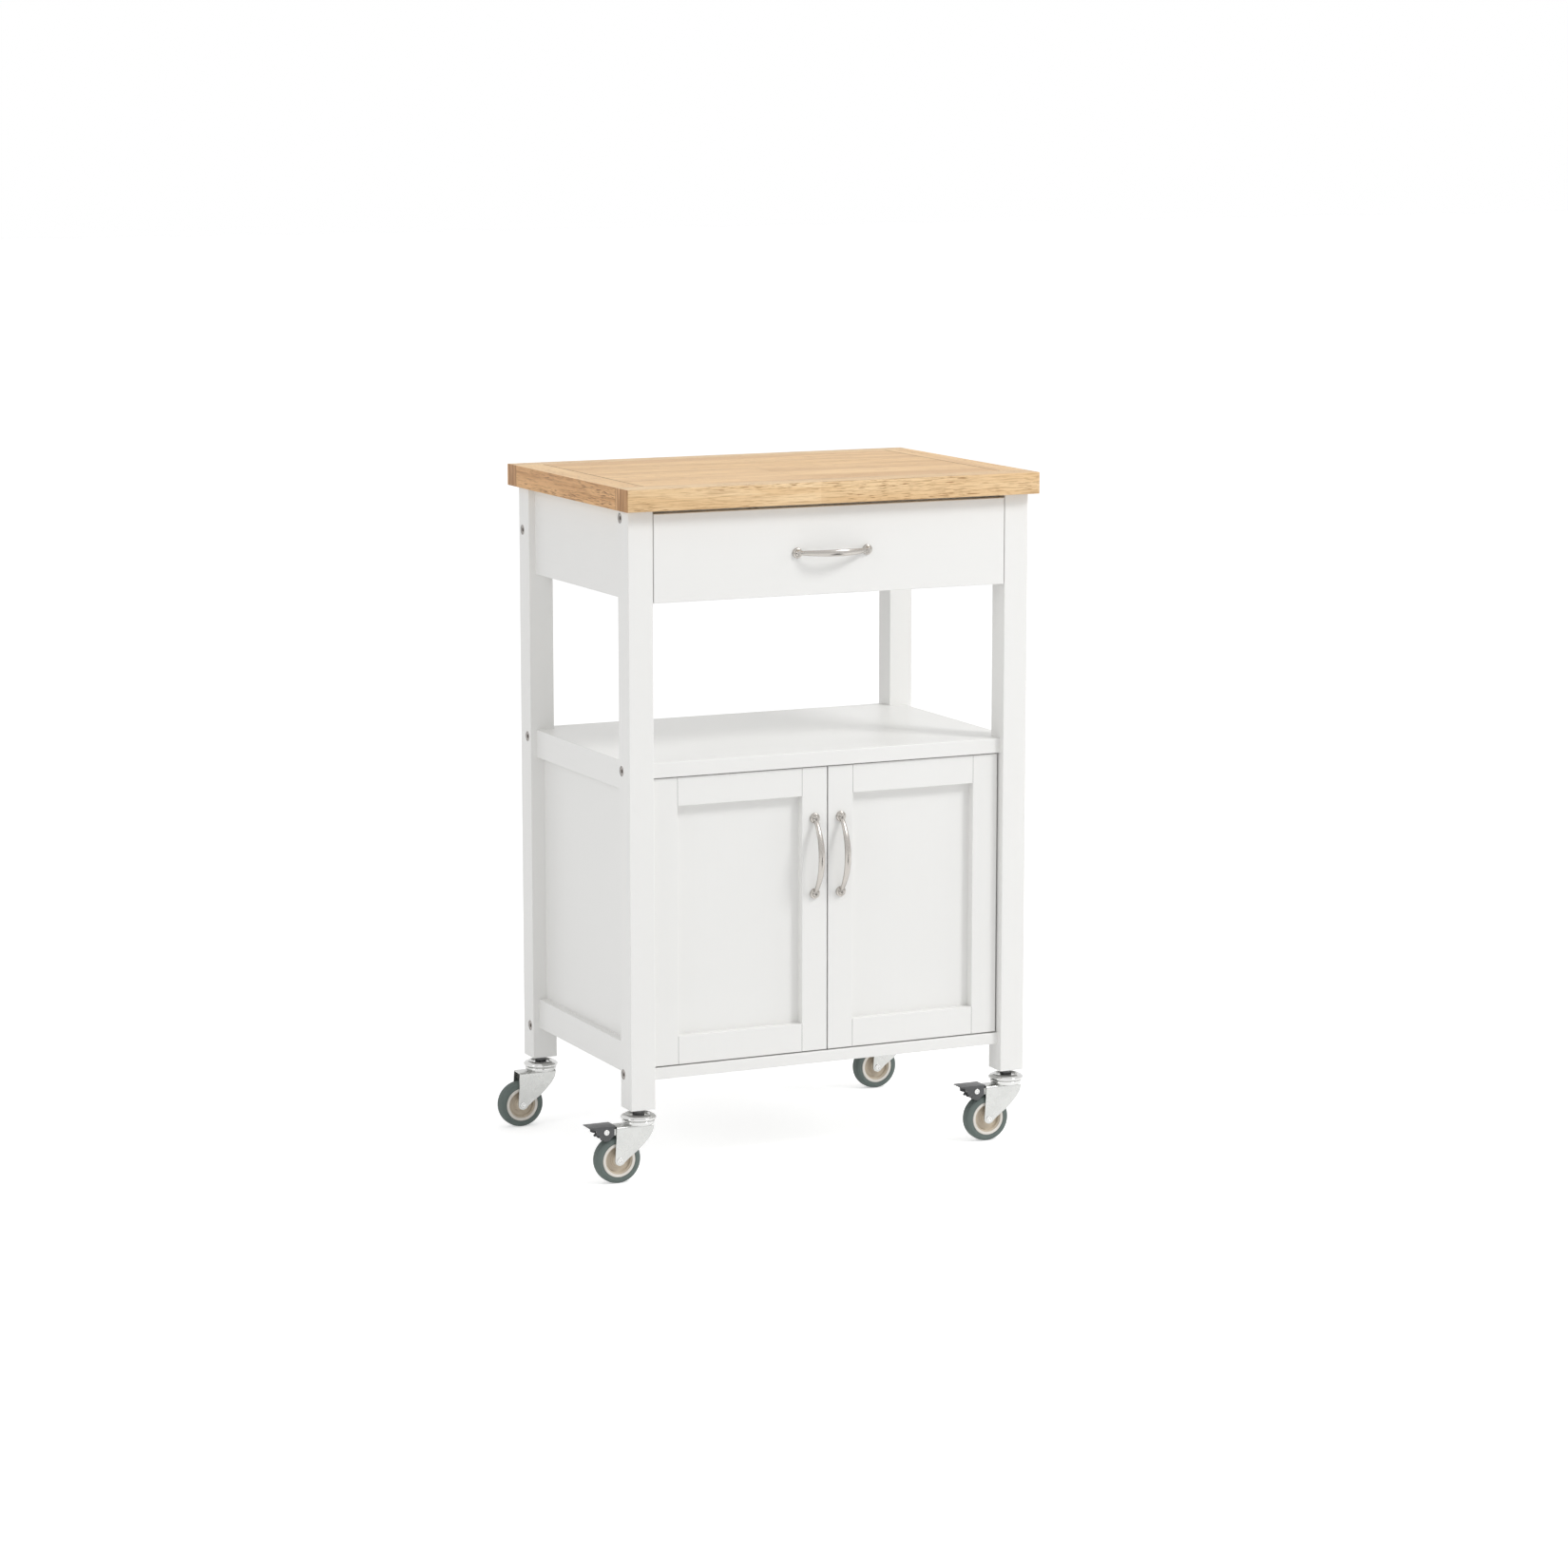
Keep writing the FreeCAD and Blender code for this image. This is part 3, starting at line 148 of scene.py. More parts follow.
def along(axis, with_grain, across):
    """A scale for each axis: with_grain on the named one and across on the others."""
    return tuple(with_grain if name == axis else across for name in "xyz")


WOOD_SPECULAR = 0.3


def wood(name, axis, light, dark, fleck, figure=1.0, staves=None):
    """Oiled hardwood whose grain runs along one axis. figure says how strongly streaks and pores show.

    staves is the length and the width of the glued pieces, in metres, and how far each row is shifted.
    """
    made = Finish(name, light, 0.42, specular=WOOD_SPECULAR)
    broad = made.noise(along(axis, 1.8, 22), 3, 0.8)
    color = made.ramp(broad, (0.32, dark), (0.62, light))
    streaks = made.noise(along(axis, 6, 130), 5, 0.4)
    color = made.tint(color, made.level(streaks, 0.48, 0.68, 0.0, 0.60 * figure), dark)
    fibres = made.noise(along(axis, 17, 600), 4)
    color = made.tint(color, made.level(fibres, 0.50, 0.70, 0.0, 0.42 * figure), fleck)
    pores = made.noise(along(axis, 60, 950), 2)
    clusters = made.noise(along(axis, 9, 60), 2)
    where = made.node("Math", operation="MULTIPLY")
    made.link(made.level(pores, 0.54, 0.64, 0.0, 0.75 * figure), where, 0)
    made.link(made.level(clusters, 0.40, 0.60, 0.25, 1.0), where, 1)
    color = made.tint(color, where.outputs["Value"], fleck)
    if staves:
        long, wide, shift = staves
        bricks = made.node("TexBrick", offset=shift, offset_frequency=2)
        bricks.inputs["Scale"].default_value = 1.0
        bricks.inputs["Mortar Size"].default_value = 0.0
        bricks.inputs["Brick Width"].default_value = long
        bricks.inputs["Row Height"].default_value = wide
        bricks.inputs["Color1"].default_value = (0.90, 0.86, 0.81, 1)
        bricks.inputs["Color2"].default_value = (1, 1, 1, 1)
        made.link(made.coordinates, bricks, "Vector")
        mix = made.node("Mix", data_type="RGBA", blend_type="MULTIPLY")
        mix.inputs[0].default_value = 1.0
        made.link(color, mix, 6)
        made.link(bricks.outputs["Color"], mix, 7)
        color = mix.outputs[2]
    made.bump(fibres, 0.00012, 0.5)
    made.bump(where.outputs["Value"], -0.0002, 0.6)
    return made.finish(color, made.level(broad, 0.2, 0.8, 0.40, 0.55))


def end_grain(name, light, dark):
    """The sawn end of a board. Its growth rings are uneven upright lines."""
    made = Finish(name, light, 0.5, specular=WOOD_SPECULAR)
    rings = made.noise((30, 300, 16), 3, 0.3)
    color = made.ramp(rings, (0.40, dark), (0.56, light))
    halves = made.noise((1, 40, 3), 1)
    color = made.tint(color, made.level(halves, 0.47, 0.53, 0.0, 0.5), dark)
    pores = made.noise((900, 900, 900), 1)
    color = made.tint(color, made.level(pores, 0.56, 0.70, 0.0, 0.5), dark)
    made.bump(pores, -0.0001, 0.5)
    return made.finish(color)


def paint(name, axis, color=(0.845, 0.842, 0.825)):
    """Satin paint over wood, whose grain still shows faintly along one axis."""
    made = Finish(name, color, 0.34)
    grain = made.noise(along(axis, 9, 320), 3)
    broad = made.noise((5, 5, 5), 2)
    shade = made.ramp(broad, (0.25, dimmed(color, 0.985)), (0.75, color))
    shade = made.tint(shade, made.level(grain, 0.55, 0.80, 0.0, 0.10), dimmed(color, 0.93))
    orange_peel = made.noise((700, 700, 700), 1)
    made.bump(grain, 0.00006, 0.5)
    made.bump(orange_peel, 0.00002, 0.4)
    return made.finish(shade, made.level(grain, 0.2, 0.8, 0.30, 0.40))


def metal(name, color, roughness, streaks=None, mottle=0.0):
    """Plated metal. streaks gives the scale of fine brush lines, mottle how uneven the plating is."""
    made = Finish(name, color, roughness, 1.0)
    cloud = made.noise((60, 60, 60), 3)
    shade = made.ramp(cloud, (0.35, dimmed(color, 1 - mottle)), (0.65, color))
    if streaks:
        lines = made.noise(streaks, 2)
        made.bump(lines, 0.00001, 0.35)
        return made.finish(shade, made.level(lines, 0.2, 0.8, roughness * 0.8, roughness * 1.25))
    return made.finish(shade, made.level(cloud, 0.3, 0.7, roughness * 0.8, roughness * 1.2))


def moulded(name, color, roughness, grain, depth):
    """Moulded plastic or rubber. grain is how fine its texture is, and depth how deep."""
    made = Finish(name, color, roughness)
    fine = made.noise((grain, grain, grain), 2)
    cloud = made.noise((45, 45, 45), 2)
    shade = made.ramp(cloud, (0.3, dimmed(color, 0.88)), (0.7, color))
    made.bump(fine, depth, 0.5)
    return made.finish(shade, made.level(fine, 0.3, 0.7, roughness * 0.85, roughness * 1.1))


WOOD_LIGHT = (0.92, 0.65, 0.36)
WOOD_DARK = (0.72, 0.445, 0.20)
WOOD_FLECK = (0.40, 0.225, 0.095)
STRIP_LIGHT = (0.96, 0.75, 0.48)
STRIP_DARK = (0.80, 0.56, 0.31)
# the end boards' outer side faces: the same wood painted darker, as painted shade
SHADED_EDGE_LIGHT = (0.77, 0.46, 0.22)
SHADED_EDGE_DARK = (0.53, 0.27, 0.11)
SHADED_EDGE_FLECK = (0.25, 0.115, 0.042)
finishes = {
    "panel_wood": wood("panel_wood", "x", WOOD_LIGHT, WOOD_DARK, WOOD_FLECK, 0.9, (0.31, 0.0496, 0.42)),
    "strip_wood": wood("strip_wood", "x", STRIP_LIGHT, STRIP_DARK, WOOD_FLECK, 1.35, (0.305, 0.5, 0.3)),
    "end_wood": wood("end_wood", "y", WOOD_LIGHT, WOOD_DARK, WOOD_FLECK, 0.9),
    # the end boards' outer side faces: painted shade
    "shaded_edge_wood": wood("shaded_edge_wood", "y", SHADED_EDGE_LIGHT, SHADED_EDGE_DARK, SHADED_EDGE_FLECK, 1.3),
    "end_grain": end_grain("end_grain", (0.70, 0.42, 0.21), (0.34, 0.165, 0.065)),
    "seam": moulded("seam", (0.16, 0.08, 0.035), 0.7, 900, 0.0001),
    # dark slabs in the door grooves: painted shade
    "painted_joint_shade": moulded("painted_joint_shade", (0.12, 0.118, 0.11), 0.7, 900, 0.00005),
    "bare_wood": wood("bare_wood", "y", (0.78, 0.62, 0.42), (0.66, 0.48, 0.29), (0.42, 0.29, 0.16)),
    "paint_x": paint("paint_x", "x"),
    "paint_y": paint("paint_y", "y"),
    "paint_z": paint("paint_z", "z"),
    "drawer_board": paint("drawer_board", "y", (0.83, 0.825, 0.80)),
    "chrome": metal("chrome", (0.68, 0.68, 0.67), 0.09, mottle=0.05),
    "pressed_steel": metal("pressed_steel", (0.58, 0.585, 0.57), 0.27, mottle=0.08),
    "nickel": metal("nickel", (0.47, 0.445, 0.415), 0.24, streaks=(900, 900, 900)),
    # near-black steel for the collar under each leg: painted shade and dark reflection
    "collar_painted_shade": metal("collar_painted_shade", (0.16, 0.16, 0.16), 0.35, mottle=0.2),
    "zinc": metal("zinc", (0.50, 0.47, 0.42), 0.38, mottle=0.12),
    "bolt_steel": metal("bolt_steel", (0.36, 0.335, 0.315), 0.34, mottle=0.15),
    "hinge_steel": metal("hinge_steel", (0.66, 0.66, 0.65), 0.28, streaks=(90, 90, 1100)),
    "tread": moulded("tread", (0.125, 0.157, 0.145), 0.62, 1600, 0.00006),
    "hub_rim": moulded("hub_rim", (0.81, 0.77, 0.71), 0.40, 1300, 0.00003),
    # the dish: the same cream plastic painted darker, as the shade in its recess
    "hub_dish_painted_shade": moulded("hub_dish_painted_shade", (0.60, 0.52, 0.41), 0.46, 1300, 0.00003),
    "pedal_plastic": moulded("pedal_plastic", (0.078, 0.080, 0.083), 0.36, 1500, 0.00008),
}


# ---- shapes ----

def rounded(corners, closed=True, steps=6):
    """The line through (x, y, radius) corners, each turned with its radius."""
    line = []
    count = len(corners)
    for index, (x, y, radius) in enumerate(corners):
        here = Vector((x, y))
        at_end = not closed and index in (0, count - 1)
        if radius == 0 or at_end:
            line.append(here)
            continue
        to_last = (Vector(corners[index - 1][:2]) - here).normalized()
        to_next = (Vector(corners[(index + 1) % count][:2]) - here).normalized()
        half = to_last.angle(to_next) / 2
        centre = here + (to_last + to_next).normalized() * (radius / math.sin(half))
        start = here + to_last * (radius / math.tan(half)) - centre
        end = here + to_next * (radius / math.tan(half)) - centre
        sweep = math.copysign(start.angle(end), start.x * end.y - start.y * end.x)
        for step in range(steps + 1):
            turn = Matrix.Rotation(sweep * step / steps, 2)
            line.append(centre + turn @ start)
    return line


def turn_to(axis):
    """The turn that carries +Z to the named axis."""
    return {"x": Matrix.Rotation(math.pi / 2, 4, "Y"), "-x": Matrix.Rotation(-math.pi / 2, 4, "Y"),
            "y": Matrix.Rotation(-math.pi / 2, 4, "X"), "-y": Matrix.Rotation(math.pi / 2, 4, "X"),
            "z": Matrix.Identity(4), "-z": Matrix.Rotation(math.pi, 4, "X")}[axis]


class Piece:
    """A mesh put together from shapes, in millimetres, which becomes one object."""

    def __init__(self, name, body, slot, *materials):
        self.name = name
        self.body = body
        self.slot = slot
        self.materials = materials
        self.mesh = bmesh.new()

    def join(self, shape, matrix, material=0):
        """Add a finished shape, moved by the matrix."""
        bmesh.ops.recalc_face_normals(shape, faces=shape.faces)
        if material:
            for face in shape.faces:
                face.material_index = material
        shape.transform(matrix)
        carrier = bpy.data.meshes.new("carrier")
        shape.to_mesh(carrier)
        shape.free()
        self.mesh.from_mesh(carrier)
        bpy.data.meshes.remove(carrier)

    def turned(self, profile, matrix, steps=48, material=0):
        """A shape of revolution about Z from a line of (radius, height) points."""
        shape = bmesh.new()
        corners = [shape.verts.new((radius, 0, height)) for radius, height in profile]
        edges = [shape.edges.new(pair) for pair in zip(corners, corners[1:])]
        bmesh.ops.spin(shape, geom=corners + edges, cent=(0, 0, 0), axis=(0, 0, 1), angle=math.tau,
                       steps=steps, use_duplicate=False)
        bmesh.ops.remove_doubles(shape, verts=shape.verts, dist=0.001)
        self.join(shape, matrix, material)

    def slab(self, outline, low, high, matrix, ease=0.0):
        """An outline in XY drawn out from low to high along Z, with its two rims rounded by ease."""
        shape = bmesh.new()
        rim = [shape.verts.new((x, y, low)) for x, y in outline]
        base = shape.faces.new(rim)
        drawn = bmesh.ops.extrude_face_region(shape, geom=[base])
        for vertex in drawn["geom"]:
            if isinstance(vertex, bmesh.types.BMVert):
                vertex.co.z = high
        if ease:
            rims = [edge for edge in shape.edges
                    if abs(edge.verts[0].co.z - edge.verts[1].co.z) < 1e-6]
            bmesh.ops.bevel(shape, geom=rims, offset=ease, segments=3, profile=0.5, affect="EDGES",
                            clamp_overlap=True)
        self.join(shape, matrix)

    def skin(self, rows, matrix, close_rows=False, close_ends=False, thickness=0.0):
        """A surface through rows of points. A thickness draws it out inward, into a sheet."""
        shape = bmesh.new()
        grid = [[shape.verts.new(point) for point in row] for row in rows]
        for near, far in zip(grid, grid[1:]):
            span = range(len(near)) if close_rows else range(len(near) - 1)
            for index in span:
                after = (index + 1) % len(near)
                shape.faces.new((near[index], near[after], far[after], far[index]))
        if close_ends:
            shape.faces.new(grid[0])
            shape.faces.new(grid[-1])
        bmesh.ops.remove_doubles(shape, verts=shape.verts, dist=0.001)
        bmesh.ops.recalc_face_normals(shape, faces=shape.faces)
        if thickness:
            bmesh.ops.solidify(shape, geom=shape.faces[:], thickness=thickness)
        self.join(shape, matrix)

    def finish(self, *replaced, sharp=32.0):
        """Make the object and let it ride. Edges that turn by more than sharp degrees stay crisp."""
        mesh = bpy.data.meshes.new(self.name)
        self.mesh.transform(Matrix.Scale(MM, 4))
        self.mesh.to_mesh(mesh)
        self.mesh.free()
        for key in self.materials:
            mesh.materials.append(finishes[key])
        mesh.shade_smooth()
        mesh.set_sharp_from_angle(angle=math.radians(sharp))
        made = bpy.data.objects.new(self.name, mesh)
        bpy.context.scene.collection.objects.link(made)
        if replaced:
            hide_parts(*replaced)
        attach(made, self.body)


def at(x, y, z):
    return Matrix.Translation((x, y, z))


def middle(node):
    """The middle of a node's box, in millimetres."""
    low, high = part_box(node)
    return (low + high) / 2 / MM


# ---- nodes that keep their shapes and get a finish ----

FINISH_OF = {
    "paint_x": ("back_apron", "top_front_rail", "shelf_board", "floor_board", "back_panel", "drawer_front"),
    "paint_y": ("side_aprons", "shelf_rails", "lower_rails"),
    "paint_z": ("front_left_leg", "front_right_leg", "back_left_leg", "back_right_leg", "left_side_panel",
                "right_side_panel", "left_door_frame", "right_door_frame", "left_door_panel",
                "right_door_panel"),
    "drawer_board": ("drawer_sides", "drawer_back", "drawer_bottom"),
    "bare_wood": ("worktop_cleats", "drawer_runners", "frame_dowels"),
    "zinc": ("barrel_nuts", "worktop_screws"),
    "hinge_steel": ("hinge_arms", "hinge_plates", "left_hinge_cups", "right_hinge_cups"),
}
for key, names in FINISH_OF.items():
    for name in names:
        mesh = nodes[name].data
        mesh.materials.clear()
        mesh.materials.append(finishes[key])


# ---- worktop: five boards with eased edges and fine seams ----

SEAM, HAIRLINE = 0.8, 0.3      # the groove between two boards, on top and down the outside
EASED = 1.6                    # radius of a board's outer edges


def worktop_board(node, main, rounded_edges, seams, side_faces=(), side_finish="seam"):
    """A board with the node's box. A face is named by its axis and side, such as x-, an edge by two faces.

    seams gives the width of the fine groove along each edge where the board meets its neighbour. The faces
    in side_faces get the side finish.
    """
    low, high = (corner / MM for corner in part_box(node))
    piece = Piece(node + "_board", "frame", "oiled_wood", main, "seam", side_finish)
    shape = bmesh.new()
    bmesh.ops.create_cube(shape, size=1.0)
    for vertex in shape.verts:
        vertex.co = [low[k] if vertex.co[k] < 0 else high[k] for k in range(3)]

    def on(edge, face):
        axis = "xyz".index(face[0])
        wall = high[axis] if face[1] == "+" else low[axis]
        return all(abs(vertex.co[axis] - wall) < 0.01 for vertex in edge.verts)

    def edges_of(pairs):
        return [edge for pair in pairs for edge in shape.edges
                if all(on(edge, face) for face in pair.split())]

    for face in shape.faces:
        for name in side_faces:
            if face.normal["xyz".index(name[0])] * (1 if name[1] == "+" else -1) > 0.9:
                face.material_index = 2
    to_round = edges_of(rounded_edges)
    grooves = {width: edges_of(pairs) for width, pairs in seams.items()}
    for width, edges in grooves.items():
        bmesh.ops.bevel(shape, geom=edges, offset=width, segments=1, profile=0.5, affect="EDGES",
                        material=1)
    to_round = list(dict.fromkeys(edge for edge in to_round if edge.is_valid))
    if to_round:
        bmesh.ops.bevel(shape, geom=to_round, offset=EASED, segments=4, profile=0.5, affect="EDGES",
                        material=-1)
    piece.join(shape, Matrix.Identity(4))
    piece.finish(node)


worktop_board("worktop_panel", "panel_wood", (), {SEAM: ("x- z+", "x+ z+")})
for end, outer, inner in (("front", "y-", "y+"), ("back", "y+", "y-")):
    worktop_board("worktop_" + end + "_strip", "strip_wood",
                  (outer + " z+", outer + " z-", "x- z+", "x+ z+", "x- z-", "x+ z-", "x- " + outer,
                   "x+ " + outer),
                  {HAIRLINE: ("x- " + inner, "x+ " + inner)}, ("x-", "x+"), "end_grain")
# the end boards' outer faces take the darker edge finish: painted shade
for end, outer, inner in (("left", "x-", "x+"), ("right", "x+", "x-")):
    worktop_board("worktop_" + end + "_end", "end_wood", (outer + " z+", outer + " z-"),
                  {SEAM: (inner + " z+",), HAIRLINE: (outer + " y-", outer + " y+")}, (outer,), "shaded_edge_wood")


# ---- fasteners ----

def ring_of(points, radius):
    """Points spread evenly round a circle. Six of them are a hexagon."""
    angles = [math.tau * k / points for k in range(points)]
    return [Vector((radius * math.cos(angle), radius * math.sin(angle))) for angle in angles]


def cross(reach, half):
    """The outline of a cross-shaped recess."""
    quarter = [(reach, -half), (reach, half), (half, half)]
    line = []
    for k in range(4):
        turn = Matrix.Rotation(k * math.pi / 2, 2)
        line += [turn @ Vector(point) for point in quarter]
    return line


def screw_head(piece, matrix, radius, thick, recess, depth, dome):
    """A round head standing on z = 0, with a recess of the given outline in its top. dome rounds its rim."""
    flat = radius * 0.62
    piece.turned(rounded([(radius, 0, 0), (radius, thick, dome), (flat, thick, 0)], closed=False), matrix)
    shape = bmesh.new()
    outer = [shape.verts.new((x, y, thick)) for x, y in ring_of(48, flat)]
    inner = [shape.verts.new((x, y, thick)) for x, y in recess]
    edges = []
    for loop in (outer, inner):
        edges += [shape.edges.new((loop[k - 1], loop[k])) for k in range(len(loop))]
    bmesh.ops.triangle_fill(shape, use_beauty=True, edges=edges, normal=(0, 0, 1))
    foot = [shape.verts.new((vertex.co.x, vertex.co.y, thick - depth)) for vertex in inner]
    for k in range(len(inner)):
        shape.faces.new((inner[k - 1], inner[k], foot[k], foot[k - 1]))
    shape.faces.new(foot)
    piece.join(shape, matrix)


BOLT_SPOTS = ((-161.5, 880.0), (-162.25, 548.5), (-162.25, 142.75),
              (179.5, 832.0), (168.05, 548.5), (168.05, 142.75))
BOLT_SEAT = 288.4      # from the cart's middle to the foot of a bolt's head


def place_bolts():
    """Bolts with hexagon sockets, whose heads lie in the legs' outer faces."""
    piece = Piece("frame_bolt_heads", "frame", "zinc_steel", "bolt_steel")
    shank = [(3.0, 0), (3.0, -63.0), (0, -63.0)]
    for y, z in BOLT_SPOTS:
        for sign in (-1, 1):
            seat = at(MIDDLE_X + sign * BOLT_SEAT, y, z) @ turn_to("x" if sign > 0 else "-x")
            screw_head(piece, seat, 6.95, 2.95, ring_of(6, 2.9), 1.4, 0.7)
            piece.turned(shank, seat, 16)
    piece.finish("frame_bolts")


place_bolts()


# ---- handles: a bow with a soft ridge between two round feet, and its screws ----

DRAWER_FACE, DOOR_FACE = -188.5, -176.0
DRAWER_FRONT_THICK, STILE_THICK = 15.0, 18.0
DRAWER_HANDLE_HEIGHT, DOOR_HANDLE_HEIGHT = 826.0, 417.5
DOOR_HANDLE_X = 19.25      # from the cart's middle


def handle(name, node, body, matrix, board):
    """Lies along X and stands out along -Y from the board's face at y = 0. board is how thick that is."""
    piece = Piece(name, body, "brushed_nickel", "nickel")
    half_span, sink, rise = 51.0, 1.5, 21.5
    radius = (half_span ** 2 + rise ** 2) / (2 * rise)
    swing = math.asin(half_span / radius)
    rows = []
    stations, around = 44, 28
    for station in range(stations + 1):
        share = 2 * station / stations - 1
        angle = swing * share
        stand = sink + rise - radius * (1 - math.cos(angle))
        middle_of_bar = Vector((radius * math.sin(angle), -stand, 0))
        outward = Vector((math.sin(angle), -math.cos(angle), 0))
        wide = 4.5 * (1 - 0.44 * abs(share) ** 1.7)
        thick = 2.0 + 0.25 * abs(share)
        row = []
        for step in range(around):
            turn = math.tau * step / around
            up = math.cos(turn)
            out = math.sin(turn)
            out = math.copysign(abs(out) ** (0.85 if out > 0 else 0.6), out)
            crown = 0.55 * (1 - abs(up)) * (1 - share * share) if out > 0 else 0.0
            proud = outward * (out * thick * 0.86 + crown * 0.5)
            row.append(middle_of_bar + proud + Vector((0, 0, up * wide)))
        rows.append(row)
    piece.skin(rows, matrix, close_rows=True, close_ends=True)
    for end in (-1, 1):
        foot = at(end * half_span, 0, 0) @ turn_to("-y")
        piece.turned(rounded([(7.0, 0, 0), (7.0, 2.4, 0.9), (5.2, 3.0, 0.8), (4.1, 5.2, 1.2),
                              (2.9, 6.6, 0.8), (0, 6.8, 0)], closed=False), matrix @ foot, 40)
        back = at(end * half_span, board, 0) @ turn_to("y")
        screw_head(piece, matrix @ back, 3.8, 2.0, cross(2.0, 0.45), 1.3, 0.8)
    piece.finish(node)


handle("drawer_handle_bow", "drawer_handle", "drawer", at(MIDDLE_X, DRAWER_FACE, DRAWER_HANDLE_HEIGHT),
       DRAWER_FRONT_THICK)
for side, sign in (("left", -1), ("right", 1)):
    upright = at(MIDDLE_X + sign * DOOR_HANDLE_X, DOOR_FACE, DOOR_HANDLE_HEIGHT) @ turn_to("x")
    handle(side + "_door_handle_bow", side + "_door_handle", side + "_door", upright, STILE_THICK)


# ---- doors: a fine shadow in each groove where a rail meets a stile ----

RAILS = ((152.4, 189.7), (499.3, 536.6))
JOINTS = {"left": (-193.7, -13.0), "right": (62.0, 242.7)}
JOINT_HALF = 0.3
JOINT_FOOT, JOINT_TOP = 175.4, 175.92      # just inside the door's face, along -Y


def door_joint_shades():
    """Thin dark slabs, sunk in the grooves: painted shade."""
    for side, joints in JOINTS.items():
        piece = Piece(side + "_door_joint_shade", side + "_door", "white_paint", "painted_joint_shade")
        for x in joints:
            left, right = x - JOINT_HALF, x + JOINT_HALF
            for low, high in RAILS:
                piece.slab([(left, low), (right, low), (right, high), (left, high)], JOINT_FOOT, JOINT_TOP,
                           turn_to("-y"))
        piece.finish()


door_joint_shades()


# ---- casters ----

WHEEL = 31.75          # axle over the floor
TRAIL = 31.5           # axle from the swivel axis, along -X
FORK_TOP = 77.5
FORK_HALF = 12.25      # the fork's middle to its sides
FORK_FOOT = 7.0        # radius of each side's foot, round the axle
PIN = (-19.5, 40.5)    # the pedal's pin from the axle, along X and up
PAINTED_SHADE_DISH = 18.9            # the wheel's dish, painted darker as the shade in its recess, ends at this radius


def fork_edges(z):
    """How far the fork's side reaches from the axle at a height over it, away from the stem and to it."""
    slope = ((-2.6, 6.5), (4.0, 14.6), (12.0, 26.0), (20.0, 35.0), (28.0, 42.5), (36.0, 47.4), (42.0, 49.0),
             (46.0, 49.0))
    round_foot = math.sqrt(max(FORK_FOOT * FORK_FOOT - z * z, 0.0))
    near = -round_foot if z < 0 else -(FORK_FOOT - 3.0 * z / (FORK_TOP - WHEEL))
    if z < slope[0][0]:
        return near, round_foot
    for (low, low_reach), (high, high_reach) in zip(slope, slope[1:]):
        if z <= high:
            share = (z - low) / (high - low)
            return near, low_reach + (high_reach - low_reach) * share
    return near, slope[-1][1]


def fork(name, x, y, braked):
    """Pressed steel bent down on both sides, with the lower raceway on top."""
    piece = Piece(name + "_fork_steel", name + "_swivel", "caster_chrome", "pressed_steel", "chrome")
    place = at(x - TRAIL, y, WHEEL)
    top = FORK_TOP - WHEEL
    bend = 2.6
    straight = top - bend + FORK_FOOT
    section = [(-FORK_HALF, -FORK_FOOT + straight * k / 26) for k in range(27)]
    section += [(-FORK_HALF + bend - bend * math.cos(a), top - bend + bend * math.sin(a))
                for a in (math.pi / 12 * k for k in range(1, 7))]
    section += [(-v, w) for v, w in reversed(section)]
    rows = []
    for across, z in section:
        near, far = fork_edges(z)
        rows.append([Vector((near + (far - near) * k / 24, across, z)) for k in range(25)])
    piece.skin(rows, place, thickness=2.0)
    ring = place @ at(TRAIL, 0, 0)
    piece.turned(rounded([(16.0, top - 0.5, 0), (19.6, top - 0.2, 1.0), (20.4, top + 1.6, 1.0),
                          (21.9, top + 2.2, 0.9), (21.9, top + 4.6, 0.9), (20.6, top + 6.3, 1.0),
                          (17.0, top + 6.5, 0), (4.2, top + 6.5, 0)], closed=False), ring, 72, 1)
    if braked:
        # two ears for the pedal's pin, joined by a roof
        left, right, low, high = -25.4, 1.0, 34.6, 43.4
        ear = rounded([(left, low, 2.6), (left, high, 1.2), (right, high, 0), (right, low, 0)])
        for side in (-1, 1):
            near, far = sorted((side * 10.15, side * 8.25))
            piece.slab(ear, near, far, place @ turn_to("-y"), 0.2)
        roof = [(left, -10.1), (left, 10.1), (right, 10.1), (right, -10.1)]
        piece.slab(roof, high - 1.8, high, place, 0.2)
    piece.finish(name + "_fork")


def rivets(name, x, y, braked):
    """The axle's two heads, and those of the pedal's pin."""
    piece = Piece(name + "_rivets", name + "_swivel", "caster_chrome", "chrome")
    spots = [(0.0, 0.0, FORK_HALF, 4.2, 3.0)]
    if braked:
        spots.append((*PIN, 13.05, 3.9, 2.8))
    for dx, dz, half, head, shank in spots:
        centre = at(x - TRAIL + dx, y, WHEEL + dz)
        profile = rounded([(shank, -half, 0), (head, -half, 0.2), (head, -half - 0.9, 0.6),
                           (head * 0.55, -half - 1.0, 0.3), (head * 0.42, -half - 0.35, 0.3),
                           (0, -half - 0.3, 0)], closed=False)
        mirrored = [(radius, -height) for radius, height in reversed(profile)]
        piece.turned(mirrored + profile, centre @ turn_to("y"), 32)
    piece.finish(name + "_axle")


